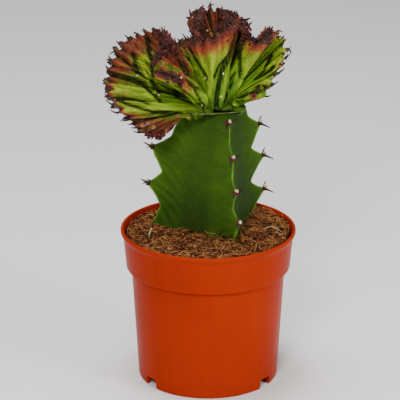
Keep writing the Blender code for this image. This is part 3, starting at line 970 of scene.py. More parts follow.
@dataclass
class Pot:
    """Injection-moulded nursery pot with a stepped collar and a rolled lip."""

    height: float = float(POT_HIGH[2])
    rim_radius: float = float(POT_HIGH[0] - POT_LOW[0]) / 2
    collar_top: float = 58.0 * MM
    collar_foot: float = 56.4 * MM
    collar_foot_z: float = 80.1 * MM
    body_top: float = 52.8 * MM
    foot_radius: float = 48.5 * MM
    floor_z: float = 3.6 * MM
    wall: float = 1.5 * MM
    skirt_wall: float = 2.6 * MM
    edge: float = 1.0 * MM              # rounding of the foot and of the collar's foot
    hollow: float = 0.9 * MM            # rounding under the collar
    lip: float = 0.8 * MM               # rounding of the lip, outside and inside
    lip_inside: float = 0.6 * MM
    sides: int = 192
    warp: float = 0.25 * MM             # how far the rim is out of round
    warp_turn: float = 0.6
    notch_angles: tuple[float, ...] = (-144, -36, 36, 144)
    notch_width: float = 11.0 * MM
    notch_height: float = 6.6 * MM
    notch_corner: float = 2.2 * MM
    sharp_angle: float = math.radians(50)

    def profile(self) -> list[Pair]:
        """Section of the pot.

        Returns:
            Radius and height of its corners, from under the floor, round the outside, to the
            inner floor.
        """
        top, foot, rim = self.height, self.foot_radius, self.rim_radius
        edge, step_z, inner_floor = self.edge, self.collar_foot_z, self.floor_z + self.wall
        outside = bow((foot - edge, edge), edge, -90, -6)
        outside += [(foot + (self.body_top - foot) * t, 1.3 * MM + (step_z - 2.3 * MM) * t)
                    for t in np.linspace(0.04, 1, 12)]
        outside += bow((self.body_top + self.hollow, step_z - self.hollow), self.hollow, 180, 90, 3)
        outside += bow((self.collar_foot - edge, step_z + edge), edge, -90, -4)
        outside += [(self.collar_foot + (self.collar_top - self.collar_foot) * t,
                     step_z + 1.2 * MM + (top - 9.0 * MM - step_z) * t)
                    for t in np.linspace(0.08, 1, 7)]
        outside += [(self.collar_top + (rim - self.collar_top) * float(step_up(0, 1, t)),
                     top - (5.4 - 3.4 * t) * MM) for t in np.linspace(0.1, 1, 9)]
        outside += bow((rim - self.lip, top - self.lip), self.lip, 0, 90)
        outside += bow((rim - self.wall, top - self.lip_inside), self.lip_inside, 90, 180, 4)
        inside = [(rim - 2.4 * MM, top - 2.6 * MM), (self.collar_top - self.wall, top - 6 * MM),
                  (self.collar_foot - self.wall, step_z + 3 * MM),
                  (self.body_top - self.wall, step_z), (foot - self.wall, inner_floor)]
        skirt = foot - self.skirt_wall
        underside = [(0.0, self.floor_z), (skirt, self.floor_z), (skirt, 0.4 * MM),
                     (skirt + 0.4 * MM, 0.0)]
        return underside + outside + inside + [(0.0, inner_floor)]

    def notch(self, degrees: float) -> Piece:
        """Make the bar that cuts one drain notch through the skirt.

        Args:
            degrees: Direction of the notch in plan.

        Returns:
            The bar, as an object of its own.
        """
        half, corner = self.notch_width / 2, self.notch_corner
        right = [(half, -MM)] + [(half - corner * (1 - math.cos(t)),
                                  self.notch_height - corner * (1 - math.sin(t)))
                                 for t in np.radians(np.linspace(0, 90, 7))]
        outline = right + [(-u, z) for u, z in right[::-1]]
        a = math.radians(degrees)
        reach = (self.foot_radius - 5.5 * MM, self.foot_radius + 6 * MM)
        points = np.array([(r * math.cos(a) - u * math.sin(a), r * math.sin(a) + u * math.cos(a), z)
                           for r in reach for u, z in outline]) + POT_AXIS
        n = len(outline)
        faces = [tuple(range(n)), tuple(range(2 * n - 1, n - 1, -1))]
        faces += [(i, n + i, n + (i + 1) % n, (i + 1) % n) for i in range(n)]
        mesh = bpy.data.meshes.new("notch")
        mesh.from_pydata(points.tolist(), [], faces)
        outward = bmesh.new()
        outward.from_mesh(mesh)
        bmesh.ops.recalc_face_normals(outward, faces=outward.faces)
        outward.to_mesh(mesh)
        outward.free()
        return hang("notch", mesh)

    def build(self) -> None:
        """Turn the pot, cut its drain notches and dress it."""
        points, faces = turned(self.profile(), self.sides)
        around = np.arctan2(points[:, 1], points[:, 0])
        oval = self.warp * np.cos(2 * around + self.warp_turn) * points[:, 2] / self.height
        radius = np.hypot(points[:, 0], points[:, 1])
        within = np.minimum(1, (self.rim_radius + self.warp) / np.maximum(radius + oval, MM))
        stretch = (1 + oval / np.maximum(radius, MM)) * within
        points[:, :2] *= np.where(radius > MM, stretch, 1)[:, None]
        finish = PotPlastic("orange_plastic").build()
        piece = Shell().add(points, faces).build("pot_shell", "pot_plastic", finish, "pot")
        for degrees in self.notch_angles:
            bar = self.notch(degrees)
            mod = piece.modifiers.new("notch", "BOOLEAN")
            mod.operation, mod.solver, mod.object = "DIFFERENCE", "EXACT", bar
            settled = bpy.data.meshes.new_from_object(
                piece.evaluated_get(bpy.context.evaluated_depsgraph_get()))
            piece.modifiers.clear()
            piece.data = settled
            bpy.data.objects.remove(bar)
        piece.data.set_sharp_from_angle(angle=self.sharp_angle)


@dataclass(frozen=True)
class Rib:
    """One rib of the rootstock: its direction, its teeth and its edge between them."""

    degrees: float
    teeth: tuple[Pair, ...]         # height and reach, mm
    heights: tuple[float, ...]      # mm
    radii: tuple[float, ...]        # mm, distance of the edge from the stem's axis

    def way(self) -> Array:
        """Unit vector of the rib's direction in plan."""
        a = math.radians(self.degrees)
        return np.array([math.cos(a), math.sin(a)])


@dataclass
class Rootstock:
    """Three-ribbed stem that carries the crest, with areoles and paired spines on its teeth."""

    axis: Pair = (2.4 * MM, 4.4 * MM)
    bottom: float = 95.0 * MM
    top: float = 190.5 * MM
    cap: float = 2.6 * MM
    crown: tuple[Pair, ...] = ((0.05, 0.45), (0.16, 0.8), (0.4, 1.0), (0.8, 1.05))
    hollow: tuple[Pair, Pair] = ((104.0, 150.0), (-3.0, 2.4))   # heights and depths, mm
    tooth_top: float = 8.5 * MM
    tooth_foot: float = 17.0 * MM
    tooth_width: float = 0.28           # share of a face
    corky: float = 2.4 * MM             # reach of the cork round each tip
    across: int = 46
    row: float = 0.75 * MM
    lump: float = 0.5 * MM
    grain: float = 0.12 * MM
    face: float = 62 * MM
    ripple: float = 0.8 * MM            # height, spacing, distance from the rib and width
    ripple_pitch: float = 7.6 * MM
    ripple_place: float = 9 * MM
    ripple_width: float = 8.5 * MM
    spine_length: float = 6.6 * MM
    spine_radius: float = 0.95 * MM
    seed: int = 21
    ribs: tuple[Rib, ...] = (
        Rib(-67, ((190.2, 2.0), (166.9, 5.2), (145.0, 7.8), (125.0, 12.0)),
            (96, 109, 135, 156, 175, 190.5), (38.5, 38.2, 35.4, 34.2, 29.9, 28.5)),
        Rib(40, ((171.6, 10.8), (147.8, 12.8), (122.6, 13.6)),
            (96, 136, 162, 176, 184, 190.5), (36.4, 36, 35.5, 33.5, 31.5, 27)),
        Rib(167, ((161.4, 9.9), (134.9, 10.5)),
            (96, 104, 112, 120, 150, 162, 170, 176, 184, 190.5),
            (45, 43.5, 39, 36.2, 35.5, 33.2, 28.6, 26, 22, 17)),
    )

    def edge(self, rib: Rib, z: float) -> float:
        """Distance of a rib's edge from the stem's axis between its teeth."""
        return np.interp(z, np.array(rib.heights) * MM, np.array(rib.radii) * MM)

    def reach(self, rib: Rib, z: float) -> float:
        """How far a rib's teeth stand out of its edge.

        Args:
            rib: The rib.
            z: The height at which it is asked.

        Returns:
            The reach of the tooth that stands out most there.
        """
        out = 0.0
        for tip, length in rib.teeth:
            above = z - tip * MM
            over = np.clip(1 - above / self.tooth_top, 0, 1) ** 1.4
            under = np.clip(1 + above / self.tooth_foot, 0, 1) ** 1.2
            out = max(out, length * MM * (over if above > 0 else under))
        return out

    def section(self, z: float) -> tuple[Array, Array]:
        """Ring of the stem at a height.

        Args:
            z: The height.

        Returns:
            Points in plan, and how far each lies from the nearer rib along the face, 0 to 0.5.
        """
        ring, nearness = [], []
        hollow = float(np.interp(z / MM, *self.hollow)) * MM
        steps = np.linspace(0, 1, self.across, endpoint=False)
        steps = 0.5 - 0.5 * np.cos(np.pi * steps)
        for k, rib in enumerate(self.ribs):
            after = self.ribs[(k + 1) % 3]
            chord = (np.outer(1 - steps, rib.way()) * self.edge(rib, z)
                     + np.outer(steps, after.way()) * self.edge(after, z))
            inward = -unit(rib.way() + after.way())
            chord += np.outer(4 * steps * (1 - steps), inward) * hollow
            for share, own in ((steps, rib), (1 - steps, after)):
                out = np.clip(1 - share / self.tooth_width, 0, 1) ** 2.8 * self.reach(own, z)
                chord += np.outer(out, own.way())
            ring.append(chord)
            nearness.append(np.minimum(steps, 1 - steps))
        return smooth_ring(np.vstack(ring), 3) + np.array(self.axis), np.concatenate(nearness)

    def build(self) -> Piece:
        """Raise the stem, then its areoles and spines.

        Returns:
            The stem's object.
        """
        heights = np.arange(self.bottom, self.top, self.row)
        rings, near = zip(*[self.section(z) for z in heights])
        count = len(rings[0])
        rows, ripples = [], []
        for z, ring, share in zip(heights, rings, near):
            run = np.roll(ring, -1, axis=0) - np.roll(ring, 1, axis=0)
            out = unit(np.stack([run[:, 1], -run[:, 0]], axis=1))
            swell, ripple = self._swell(z, share)
            rows.append(np.column_stack([ring + out * swell[:, None], np.full(count, z)]))
            ripples.append(ripple)
        for pull, rise in self.crown:
            ring = rings[-1] * (1 - pull) + np.array(self.axis) * pull
            rows.append(np.column_stack([ring, np.full(count, self.top + self.cap * rise)]))
        points, crown = np.array(rows), len(self.crown)
        levels = len(points)
        faces = ring_faces(levels, count)
        faces += [tuple(range(count))[::-1], tuple(range((levels - 1) * count, levels * count))]
        nearness = np.array(list(near) + [near[-1]] * crown)
        line = np.exp(-(nearness / 0.012) ** 2)
        cork = np.array([self._cork(z) for z in list(heights) + [self.top] * crown])
        # depth is painted shade: darker towards the foot, in the middle of each face and over the
        # whole right face, darker in the ripples' troughs and lighter on their crests
        low = step_up(160 * MM, 112 * MM, points[..., 2])
        mid_face_shade = step_up(0.24, 0.38, nearness)
        shaded_right_face = (np.arange(count) < self.across)[None, :] * np.ones((levels, 1))
        depth = 0.65 * low * (0.35 + 0.65 * mid_face_shade) + 0.25 * mid_face_shade + 0.5 * shaded_right_face
        depth = np.clip(depth - 0.22 * np.array(ripples + [np.zeros(count)] * crown), 0, 1)
        shell = Shell().add(points, faces, near_rib=np.exp(-(nearness / 0.07) ** 2).ravel(),
                            rib_line=(line * (1 - cork * 0.7)).ravel(),
                            cork=(line * cork).ravel(), depth=depth.ravel())
        finish = StemSkin("green_stem_skin").build()
        stem = shell.build("rootstock_stem", "stem_skin", finish, "rootstock")
        self._arm()
        return stem

    def _swell(self, z: float, share: Array) -> tuple[Array, Array]:
        """Lumps and slanting ripples of the skin at a height.

        Args:
            z: The height.
            share: How far each point lies from the nearer rib along the face, 0 to 0.5.

        Returns:
            How far the skin stands out, and the ripples alone from -1 to 1, which are strongest
            on the left part of the front face.
        """
        around = np.arange(len(share)) / len(share)
        swell = self.lump * lattice_noise(around * 9, z / (13 * MM), 3)
        swell += self.grain * lattice_noise(around * 30 + z / (26 * MM), z / (3.2 * MM), 5)
        inward = share * self.face
        turn = TURN * (z + 0.75 * inward) / self.ripple_pitch
        turn = turn + 2.2 * lattice_noise(around * 12, z / (17 * MM), 8)
        ripple = np.sin(turn) * np.exp(-((inward - self.ripple_place) / self.ripple_width) ** 2)
        faces_round = np.arange(len(share)) / self.across
        ripple *= np.where(np.abs(faces_round - 2.25) < 0.27, 1.0, 0.3)
        return swell + self.ripple * ripple, ripple

    def _cork(self, z: float) -> Array:
        """How corky the ribs' edges are at a height.

        Args:
            z: The height.

        Returns:
            One value for each point of the ring, 1 at a tooth's tip.
        """
        near = [max(math.exp(-(((z - tip * MM) / self.corky) ** 2)) for tip, _reach in rib.teeth)
                for rib in self.ribs]
        half = self.across // 2
        return np.repeat([near[0], *np.repeat(near[1:], 2), near[0]],
                         [half, self.across - half] * 3)

    def _arm(self) -> None:
        """Set a dark pad, a tuft of wool and two spines on every tooth."""
        rng = np.random.default_rng(self.seed)
        spines, pads, wool = Shell(), Shell(), Shell()
        pad_sizes = np.array([[1.25, 1.9], [1.5, 1.7], [1.2, 1.8]]) * MM
        for rib in self.ribs:
            way = np.array([*rib.way(), 0.0])
            side = np.array([-way[1], way[0], 0.0])
            for tip, _length in rib.teeth:
                z = tip * MM
                out = self.edge(rib, z) + self.reach(rib, z) - 1.5 * MM
                base = np.array([*self.axis, z]) + way * out
                spots = np.array([
                    base + side * 1.5 * MM * turn + [0, 0, -0.3 * MM - 0.5 * MM * turn]
                    for turn in (-1, 0, 1)])
                pads.add(*blobs(spots, np.array([side, way, side]), pad_sizes, rng), tone=0.64)
                tuft = base + [0, 0, 1.3 * MM] + way * 0.9 * MM
                puffs = tuft + rng.uniform(-0.6, 0.6, (9, 3)) * MM
                wool.add(*blobs(puffs, unit(rng.normal(0, 1, (9, 3))),
                                rng.uniform(0.65, 0.95, (9, 2)) * MM, rng))
                ways = unit(np.array([way * 0.85 + side * 0.5 * turn + [0, 0, rise]
                                      for turn, rise in ((-1, -0.4), (1, 0.65))]))
                roots = np.array([base + side * 1.3 * MM * turn for turn in (-1, 1)])
                lengths = self.spine_length * rng.uniform(0.85, 1.1, 2)
                bends = np.array([[0, 0, -0.9 * MM], [0, 0, 0.6 * MM]]) + way * 0.6 * MM
                radii = np.full(2, self.spine_radius)
                spines.add(*thorns(roots, ways, bends, lengths, radii, 8))
        for shell, name, finish in ((spines, "rootstock_spines", SpineHorn("dark_spine")),
                                    (pads, "rootstock_spine_pads", KnobSkin("brown_spine_pad")),
                                    (wool, "rootstock_wool", DryTissue("areole_wool"))):
            shell.build(name, "stem_skin", finish.build())


@dataclass(frozen=True)
class FibreLot:
    """Loose fibres of one tone."""

    name: str
    count: int
    tone: float         # 0 dark to 1 pale
    radii: Pair         # least and greatest, mm
    seed: int


@dataclass
class Soil:
    """Coir in the pot: a lumpy bed with loose fibres and crumbs of pith on it."""

    edge_z: float = 105.0 * MM
    mound: float = 2.6 * MM
    edge_radius: float = 56.2 * MM
    floor_z: float = 5.4 * MM
    rings: int = 70
    sides: int = 200
    lumps: tuple[Triple, ...] = ((0.9, 9, 1), (0.6, 3.1, 2), (0.35, 1.1, 4))   # mm, mm, seed
    lots: tuple[FibreLot, ...] = (
        FibreLot("coir_fibres_dark", 1250, 0.12, (0.18, 0.42), 31),
        FibreLot("coir_fibres_brown", 1400, 0.6, (0.13, 0.30), 32),
        FibreLot("coir_fibres_pale", 1100, 0.98, (0.09, 0.20), 33))
    fibre_steps: int = 10
    crumbs: int = 1500
    # one shaving at the stem's left foot and a green-white curl at the right, mm above the bed
    shavings: tuple[tuple[Triple, ...], ...] = (
        ((-38.5, -12, 6.5), (-39.5, -12.5, 4.5), (-40.5, -14, 2.0), (-40, -17, 0.8)),
        ((38, -5, 1.5), (42, -3.5, 2.8), (46, -4.5, 3.0), (50, -7, 2.2), (51, -10, 1.2)),
        ((44, -9, 1.2), (47, -11, 2.0), (50, -12, 1.4)))

    def height(self, x: Array, y: Array) -> Array:
        """Height of the bed's surface.

        Args:
            x: Places in plan, to the right.
            y: Places in plan, to the back.

        Returns:
            The height at each place.
        """
        share = np.clip(np.hypot(x, y) / self.edge_radius, 0, 1)
        lumps = sum(height * lattice_noise(x / (size * MM), y / (size * MM), seed)
                    for height, size, seed in self.lumps) * MM
        tilt = (0.8 * x - 1.7 * y) / 40 * (1 - share ** 4)
        return (self.edge_z - 0.8 * MM + self.mound * (1 - share ** 2) + tilt
                + lumps * (1.1 - share * 0.5))

    def build(self) -> None:
        """Lay the bed, then the fibres, the crumbs and the shavings."""
        coir = Coir("coir_fibre").build()
        profile = [(0.0, self.floor_z), (46.6 * MM, self.floor_z), (51.0 * MM, 79.0 * MM),
                   (self.edge_radius - 1.2 * MM, 82.0 * MM)]
        profile += [(self.edge_radius * share, self.edge_z)
                    for share in np.linspace(1, 0, self.rings + 1)[:-1]]
        points, faces = turned(profile + [(0.0, self.edge_z)], self.sides)
        top = points[:, 2] > 90 * MM
        points[top, 2] = self.height(points[top, 0], points[top, 1])
        tone = 0.02 + 0.2 * lattice_noise(points[:, 0] / (5 * MM), points[:, 1] / (5 * MM), 9)
        Shell().add(points, faces, tone=tone).build("coir_bed", "coir", coir, "soil")
        for lot in self.lots:
            self._fibres(lot, coir)
        self._crumbs(coir)
        self._shavings()

    def _clear_of_stem(self, points: Array) -> Array:
        """Move points out of the stem, through its nearest face.

        Args:
            points: Places in plan.

        Returns:
            The same places, clear of the stem.
        """
        corners = np.array([rib.way() for rib in Rootstock().ribs]) * 35 * MM
        plan = points - np.array(Rootstock().axis)
        gaps, normals = [], []
        for a, b in zip(corners, np.roll(corners, -1, axis=0)):
            normal = unit(np.array([(b - a)[1], -(b - a)[0]]))
            normals.append(normal)
            gaps.append((plan - a) @ normal)
        gaps = np.stack(gaps, axis=-1)
        push = np.maximum(0.2 * MM - gaps.max(axis=-1), 0)
        return points + np.array(normals)[gaps.argmax(axis=-1)] * push[..., None]

    def _fibres(self, lot: FibreLot, coir: Material) -> None:
        """Scatter curved fibres over the bed, longer and more arched at the right.

        Args:
            lot: Which fibres they are.
            coir: Their finish.
        """
        rng, count, steps = np.random.default_rng(lot.seed), lot.count, self.fibre_steps
        reach = self.edge_radius - 0.8 * MM
        start_r = reach * np.sqrt(rng.uniform(0, 1, count))
        start_a = rng.uniform(0, TURN, count)
        to_right = step_up(-0.3, 0.6, np.cos(start_a))
        length = rng.gamma(3.0, 4.2, count).clip(5, 30) * MM * (0.7 + 0.5 * to_right)
        heading = rng.uniform(0, TURN, count)[:, None]
        curl = rng.normal(0, 1.5, count)[:, None] * np.linspace(0, 1, steps)[None]
        curl = curl + rng.normal(0, 0.8, count)[:, None] * np.sin(np.linspace(0, 5, steps))[None]
        way = heading + curl
        leg = (length / (steps - 1))[:, None]
        x = start_r[:, None] * np.cos(start_a)[:, None] + np.cumsum(np.cos(way) * leg, axis=1)
        y = start_r[:, None] * np.sin(start_a)[:, None] + np.cumsum(np.sin(way) * leg, axis=1)
        inside = np.minimum(1, reach / np.maximum(np.hypot(x, y), MM))
        plan = self._clear_of_stem(np.stack([x * inside, y * inside], axis=-1))
        arch = np.sin(np.linspace(0.25, math.pi, steps))[None] * (
            rng.gamma(1.3, 0.75, count) * (0.75 + 0.9 * to_right))[:, None]
        z = self.height(plan[..., 0], plan[..., 1])
        z = z + (arch + rng.uniform(-0.2, 0.7, count)[:, None]) * MM
        thick = rng.uniform(*lot.radii, count)[:, None] * MM
        taper = np.linspace(1, 0.45, steps)[None] * (1 - 0.5 * (np.arange(steps) == 0))[None]
        points, faces = tubes(np.concatenate([plan, z[..., None]], axis=-1), thick * taper, 3)
        tone = np.repeat(lot.tone + rng.normal(0, 0.12, count), steps * 3)
        Shell().add(points, faces, tone=tone).build(lot.name, "coir", coir)

    def _crumbs(self, coir: Material) -> None:
        """Scatter crumbs of pith between the fibres.

        Args:
            coir: Their finish.
        """
        rng, count = np.random.default_rng(41), self.crumbs
        r = (self.edge_radius - 1.5 * MM) * np.sqrt(rng.uniform(0, 1, count))
        a = rng.uniform(0, TURN, count)
        plan = self._clear_of_stem(np.stack([r * np.cos(a), r * np.sin(a)], axis=-1))
        size = rng.gamma(2.5, 0.2, count).clip(0.25, 1.4) * MM
        centres = np.column_stack([plan, self.height(*plan.T) + size * 0.2])
        sizes = np.stack([size, size * rng.uniform(0.5, 1.3, count)], axis=-1)
        points, faces = blobs(centres, unit(rng.normal(0, 1, (count, 3))), sizes, rng)
        tone = np.repeat(rng.beta(0.8, 1.3, count), BLOB_POINTS)
        Shell().add(points, faces, tone=tone).build("coir_crumbs", "coir", coir)

    def _shavings(self) -> None:
        """Drop the pale shavings on the bed."""
        rng = np.random.default_rng(43)
        shell = Shell()
        for route in self.shavings:
            knots = np.array(route, dtype=float) * MM
            t, marks = np.linspace(0, len(knots) - 1, 16), np.arange(len(knots))
            path = smooth(np.stack([np.interp(t, marks, line) for line in knots.T], 1), 6)
            path[:, 2] += self.height(path[:, 0], path[:, 1])
            radii = 0.62 * MM * (1 - 0.5 * np.abs(np.linspace(-1, 1, 16)) ** 2)
            shell.add(*tubes(path[None], radii[None] * rng.uniform(0.85, 1.1), 6))
        finish = DryTissue("pale_shaving", fineness=(300.0, 900.0, 600.0, 1500.0),
                           pale=(0.56, 0.50, 0.28), dark=(0.30, 0.28, 0.12))
        shell.build("pale_shavings", "coir", finish.build())


def drawn(points: Array, lines: tuple[tuple[float, ...], ...]) -> Array:
    """Height of the creases and ridges that the photograph shows.

    Args:
        points: Places on a face, about the pot's axis.
        lines: Half width in pixels, height in mm, then the pixels that each line runs through.

    Returns:
        The strongest height at each place, in metres.
    """
    spots = CAMERA.pixels(points)
    found = np.zeros(len(points))
    for width, height, *path in lines:
        knots = np.array(path, dtype=float).reshape(-1, 2)
        for a, b in zip(knots, knots[1:]):
            along = np.clip((spots - a) @ (b - a) / np.sum((b - a) ** 2), 0, 1)
            gap = np.linalg.norm(spots - a - along[:, None] * (b - a), axis=1)
            value = height * MM * np.exp(-(gap / width) ** 2)
            found = np.where(np.abs(value) > np.abs(found), value, found)
    return found


@dataclass(frozen=True)
class Row:
    """One row of a sheet: its middle line, its directions and how far both faces lie from it."""

    centre: Array
    normal: Array
    growth: Array
    tangent: Array
    left: Array
    right: Array

    def faces(self) -> tuple[Array, Array]:
        """Points of the left face and of the right one."""
        return (self.centre + self.normal * self.left[:, None],
                self.centre - self.normal * self.right[:, None])


@dataclass
class FoldedSheet:
    """One folded sheet of the crest, from its root line to its growing margin."""

    name: str
    seed: int
    edge: tuple[tuple[float, ...], ...]     # x, y, z, half thickness (mm), red, dull, grainy
    root: tuple[Triple, Triple]
    # each crease: edge index at its root end and margin end, growth at both, height, width (mm)
    creases: tuple[tuple[float, ...], ...]
    calm_faces: tuple[Pair, ...]            # edge indices between which a face is even
    rib_pitch: float = 9.0 * MM
    coarse_steps: int = 6
    finer: int = 3
    ribs_in_pitch: float = 1.35
    rib_depth: float = 0.2
    rib_tooth: float = 1.6 * MM
    root_half: float = 8.5 * MM
    fold_pitch: float = 24.0 * MM
    fold_depth: float = 2.6 * MM
    flare: float = 1.25
    droop: float = 18.0 * MM
    margin_height: float = 2.5 * MM
    margin_rows: int = 7
    end_steps: int = 6
    thin_end: float = 6.0 * MM              # stretch over which both ends grow thinner
    turning: float = 0.60                   # ripeness at which the green turns red
    red_width: float = 1.7                  # share of the growth that full red would take
    # rows past the margin's first one, then the chance of a knob on the front and the back face
    knob_rows: tuple[Triple, ...] = (
        (2, 0.85, 0.85), (4, 0.85, 0.85), (6, 0.85, 0.85), (0, 0.35, 0.75), (-2, 0.18, 0.55),
        (-4, 0.08, 0.4), (-6, 0.0, 0.28), (-8, 0.0, 0.2), (-10, 0.0, 0.1))
    knob_pitch: float = 1.35 * MM
    # rows past the margin's first one, the chance of a spine on a rib and its length in mm
    spine_rows: tuple[Triple, ...] = ((4, 0.6, 3.5), (6, 0.3, 3.6), (-1, 0.3, 2.6),
                                      (-6, 0.12, 2.2))

    def __post_init__(self) -> None:
        """Lay out the growing edge and the pattern of its ribs and waves."""
        self.edge_points, self.along = self._even_edge()
        self._pattern()
        self.stations = self._stations()
        self.first_margin = len(self.stations) - self.margin_rows - 1

    def _even_edge(self) -> tuple[Array, Array]:
        """Space the growing edge evenly.

        Returns:
            What edge gives at each new point, and the distance along the edge.
        """
        points = np.array(self.edge, dtype=float)
        points[:, :4] *= MM
        fine = rounded(points, 12)
        steps = np.linalg.norm(np.diff(fine[:, :3], axis=0), axis=1)
        along = np.concatenate([[0.0], np.cumsum(steps)])
        self.marks = along[::12]
        count = int(round(along[-1] / (self.rib_pitch / self.coarse_steps))) + 1
        even = np.linspace(0, along[-1], count)
        return np.stack([np.interp(even, along, line) for line in fine.T], axis=1), even

    def _pattern(self) -> None:
        """Rib phase, uneven strength and slow waves along the edge, the same as in the solid."""
        along, rng = self.along, np.random.default_rng(self.seed)
        drift = smooth(rng.normal(0, 1, len(along)), 4 * self.coarse_steps)
        drift = drift / np.abs(drift).max() * 0.35
        self.phase = TURN * (along / self.rib_pitch + 1.1 * drift) * self.ribs_in_pitch
        knots = np.arange(0, along[-1] + self.rib_pitch, self.rib_pitch * 1.7)
        self.strength = 1 + 0.35 * np.interp(along, knots, rng.uniform(-1, 1, len(knots)))
        halves = int(along[-1] / self.fold_pitch * 2) + 4
        turns = np.cumsum(rng.uniform(0.7, 1.3, halves)) * self.fold_pitch / 2
        turns = turns[turns < along[-1] - 4 * MM]
        swing = rng.uniform(0.5, 1, len(turns)) * np.where(np.arange(len(turns)) % 2, 1, -1)
        self.wave = smooth(np.interp(along, [0, *turns, along[-1]], [0, *swing, 0]),
                           self.coarse_steps * 3)

    def _stations(self) -> list[Triple]:
        """Lay out the rows.

        Returns:
            Growth, width and lift of each row, from the root over the rounded margin.
        """
        growth = np.concatenate([np.linspace(0.04, 0.62, 17), np.linspace(0.62, 1.0, 25)[1:]])
        rows = self.margin_rows + 1
        arc = [math.pi / 2 * (i + 1) / rows for i in range(rows)]
        return [(r, 1.0, 0.0) for r in growth] + [(1.0, math.cos(t), math.sin(t)) for t in arc]

    def _fine(self, values: Array) -> Array:
        """Carry a row of numbers or points to the fine spacing."""
        return rounded(values, self.finer)

    def _gullies(self, along: Array, side: int) -> Callable[[float], Array]:
        """Grooves and ridges that run from near the root to the margin on one face.

        Args:
            along: Distance of each column along the growing edge.
            side: 0 for the face seen from the front, 1 for the other.

        Returns:
            Function that gives their height at a share of the growth.
        """
        rng = np.random.default_rng(self.seed + 300 + side)
        places = np.cumsum(rng.uniform(4.0, 11.0, int(along[-1] / (4 * MM)))) * MM
        places = places[places < along[-1]]
        count = len(places)
        deep = rng.uniform(0, 1, count) < 0.58
        lines = np.stack([
            places + rng.normal(0, 1.6, count) * MM, places, rng.uniform(0.12, 0.6, count),
            np.where(rng.uniform(0, 1, count) < 0.4, rng.uniform(0.8, 1.0, count), 1.3),
            np.where(deep, -1.0, 0.55) * rng.uniform(0.5, 1.7, count) * MM,
            rng.uniform(0.8, 1.5, count) * MM], axis=1)
        if not side:
            own = np.array(self.creases)
            own[:, 4:] *= MM
            own[:, :2] = np.interp(own[:, :2], np.arange(len(self.marks)), self.marks)
            near = np.abs(lines[:, None, 1] - own[None, :, 1]).min(axis=1)
            calm = np.interp(lines[:, 1], along, self.calm) > 0.5
            lines = np.vstack([lines[(near > 3.0 * MM) & ~calm], own])
        root_end, margin_end, start, end, depth, width = lines.T

        def height(r: float) -> Array:
            """Height of the grooves and ridges.

            Args:
                r: Share of the growth.

            Returns:
                Their height at each column.
            """
            grown = step_up(0, 1, (r - start) / 0.15) * (1 - step_up(0, 1, (r - end) / 0.08))
            share = np.clip((r - start) / (np.minimum(end, 1.0) - start), 0, 1)
            centre = root_end + (margin_end - root_end) * share
            shape = np.exp(-((along[:, None] - centre) / width) ** 2)
            return shape @ (depth * grown)

        return height

    def _relief(self, along: Array, r: float, side: int) -> tuple[Array, Array]:
        """Fine relief of one face.

        Args:
            along: Distance of each column along the growing edge.
            r: Share of the growth.
            side: 0 for the face seen from the front, 1 for the other.

        Returns:
            Height of the wrinkles and of the warts at each column.
        """
        line = lattice_noise(along / (1.5 * MM), r * 3.0, self.seed + side)
        line = 0.34 * line + 0.5 * lattice_noise(along / (3.6 * MM), r * 2.2, self.seed + 7 + side)
        wart = lattice_noise(along / (1.5 * MM), r * 40, self.seed + 11 + side)
        line = line * (1 - 0.6 * self.calm * (1 - side))
        return (line * float(step_up(0.06, 0.35, r)) * MM,
                wart * float(step_up(0.78, 0.97, r)) * 0.35 * MM)

    def _ripeness(self, reach: float, blush: Array) -> tuple[Array, Array]:
        """How ripe the skin is.

        Args:
            reach: Share of the growth, a little more on the margin's crown.
            blush: How wide the red band is at each column.

        Returns:
            The ripeness at each column, and how much the red band adds to it at most.
        """
        band = 1.13 - self.red_width * blush
        last = 0.42 * np.clip((blush - 0.032) / 0.005, 0, 1) - 0.14 * (blush < 0.034)
        red = self.turning + last * np.maximum(reach - band, 0) / (self.red_width * blush)
        return np.where(reach < band, self.turning * reach / band, red), last

    def build(self, material: Material, replaced: str = "") -> Piece:
        """Make the sheet's skin.

        Args:
            material: Its finish.
            replaced: CAD node that it stands for.

        Returns:
            The new object.
        """
        along, strength, wave = map(self._fine, (self.along, self.strength, self.wave))
        self.rib = rib = np.cos(self._fine(self.phase))
        half_margin, blush, dull, grain = map(self._fine, self.edge_points[:, 3:].T)
        blush = 0.62 * blush * (1 + 0.4 * lattice_noise(along / (9 * MM), 0.5, self.seed))
        blush = np.clip(blush, 0.03, 0.9)
        self.grain, self.ripening = np.clip(grain, 0, 1), np.clip((blush - 0.05) / 0.09, 0, 1)
        index = np.interp(along, self.marks, np.arange(len(self.marks)))
        self.calm = sum(step_up(low - 0.3, low + 0.3, index)
                        * (1 - step_up(high - 0.3, high + 0.3, index))
                        for low, high in self.calm_faces)
        margin, share = self.edge_points[:, :3], (self.along / self.along[-1])[:, None]
        base = (1 - share) * np.array(self.root[0]) * MM + share * np.array(self.root[1]) * MM
        fall = np.clip((base[:, 2] - margin[:, 2]) / self.droop, 0, 1)
        ends = 1 - step_up(0, self.thin_end, np.minimum(along, along[-1] - along))
        gullies = [self._gullies(along, side) for side in (0, 1)]

        def middle(r: float) -> Array:
            """Centre line of the sheet at a share of its growth."""
            spread = np.full(len(fall), max(r, 0.0)) ** (self.flare - 0.25 * fall)
            return base + (margin - base) * np.stack([spread, spread, max(r, 0.0) ** (1 + fall)], 1)

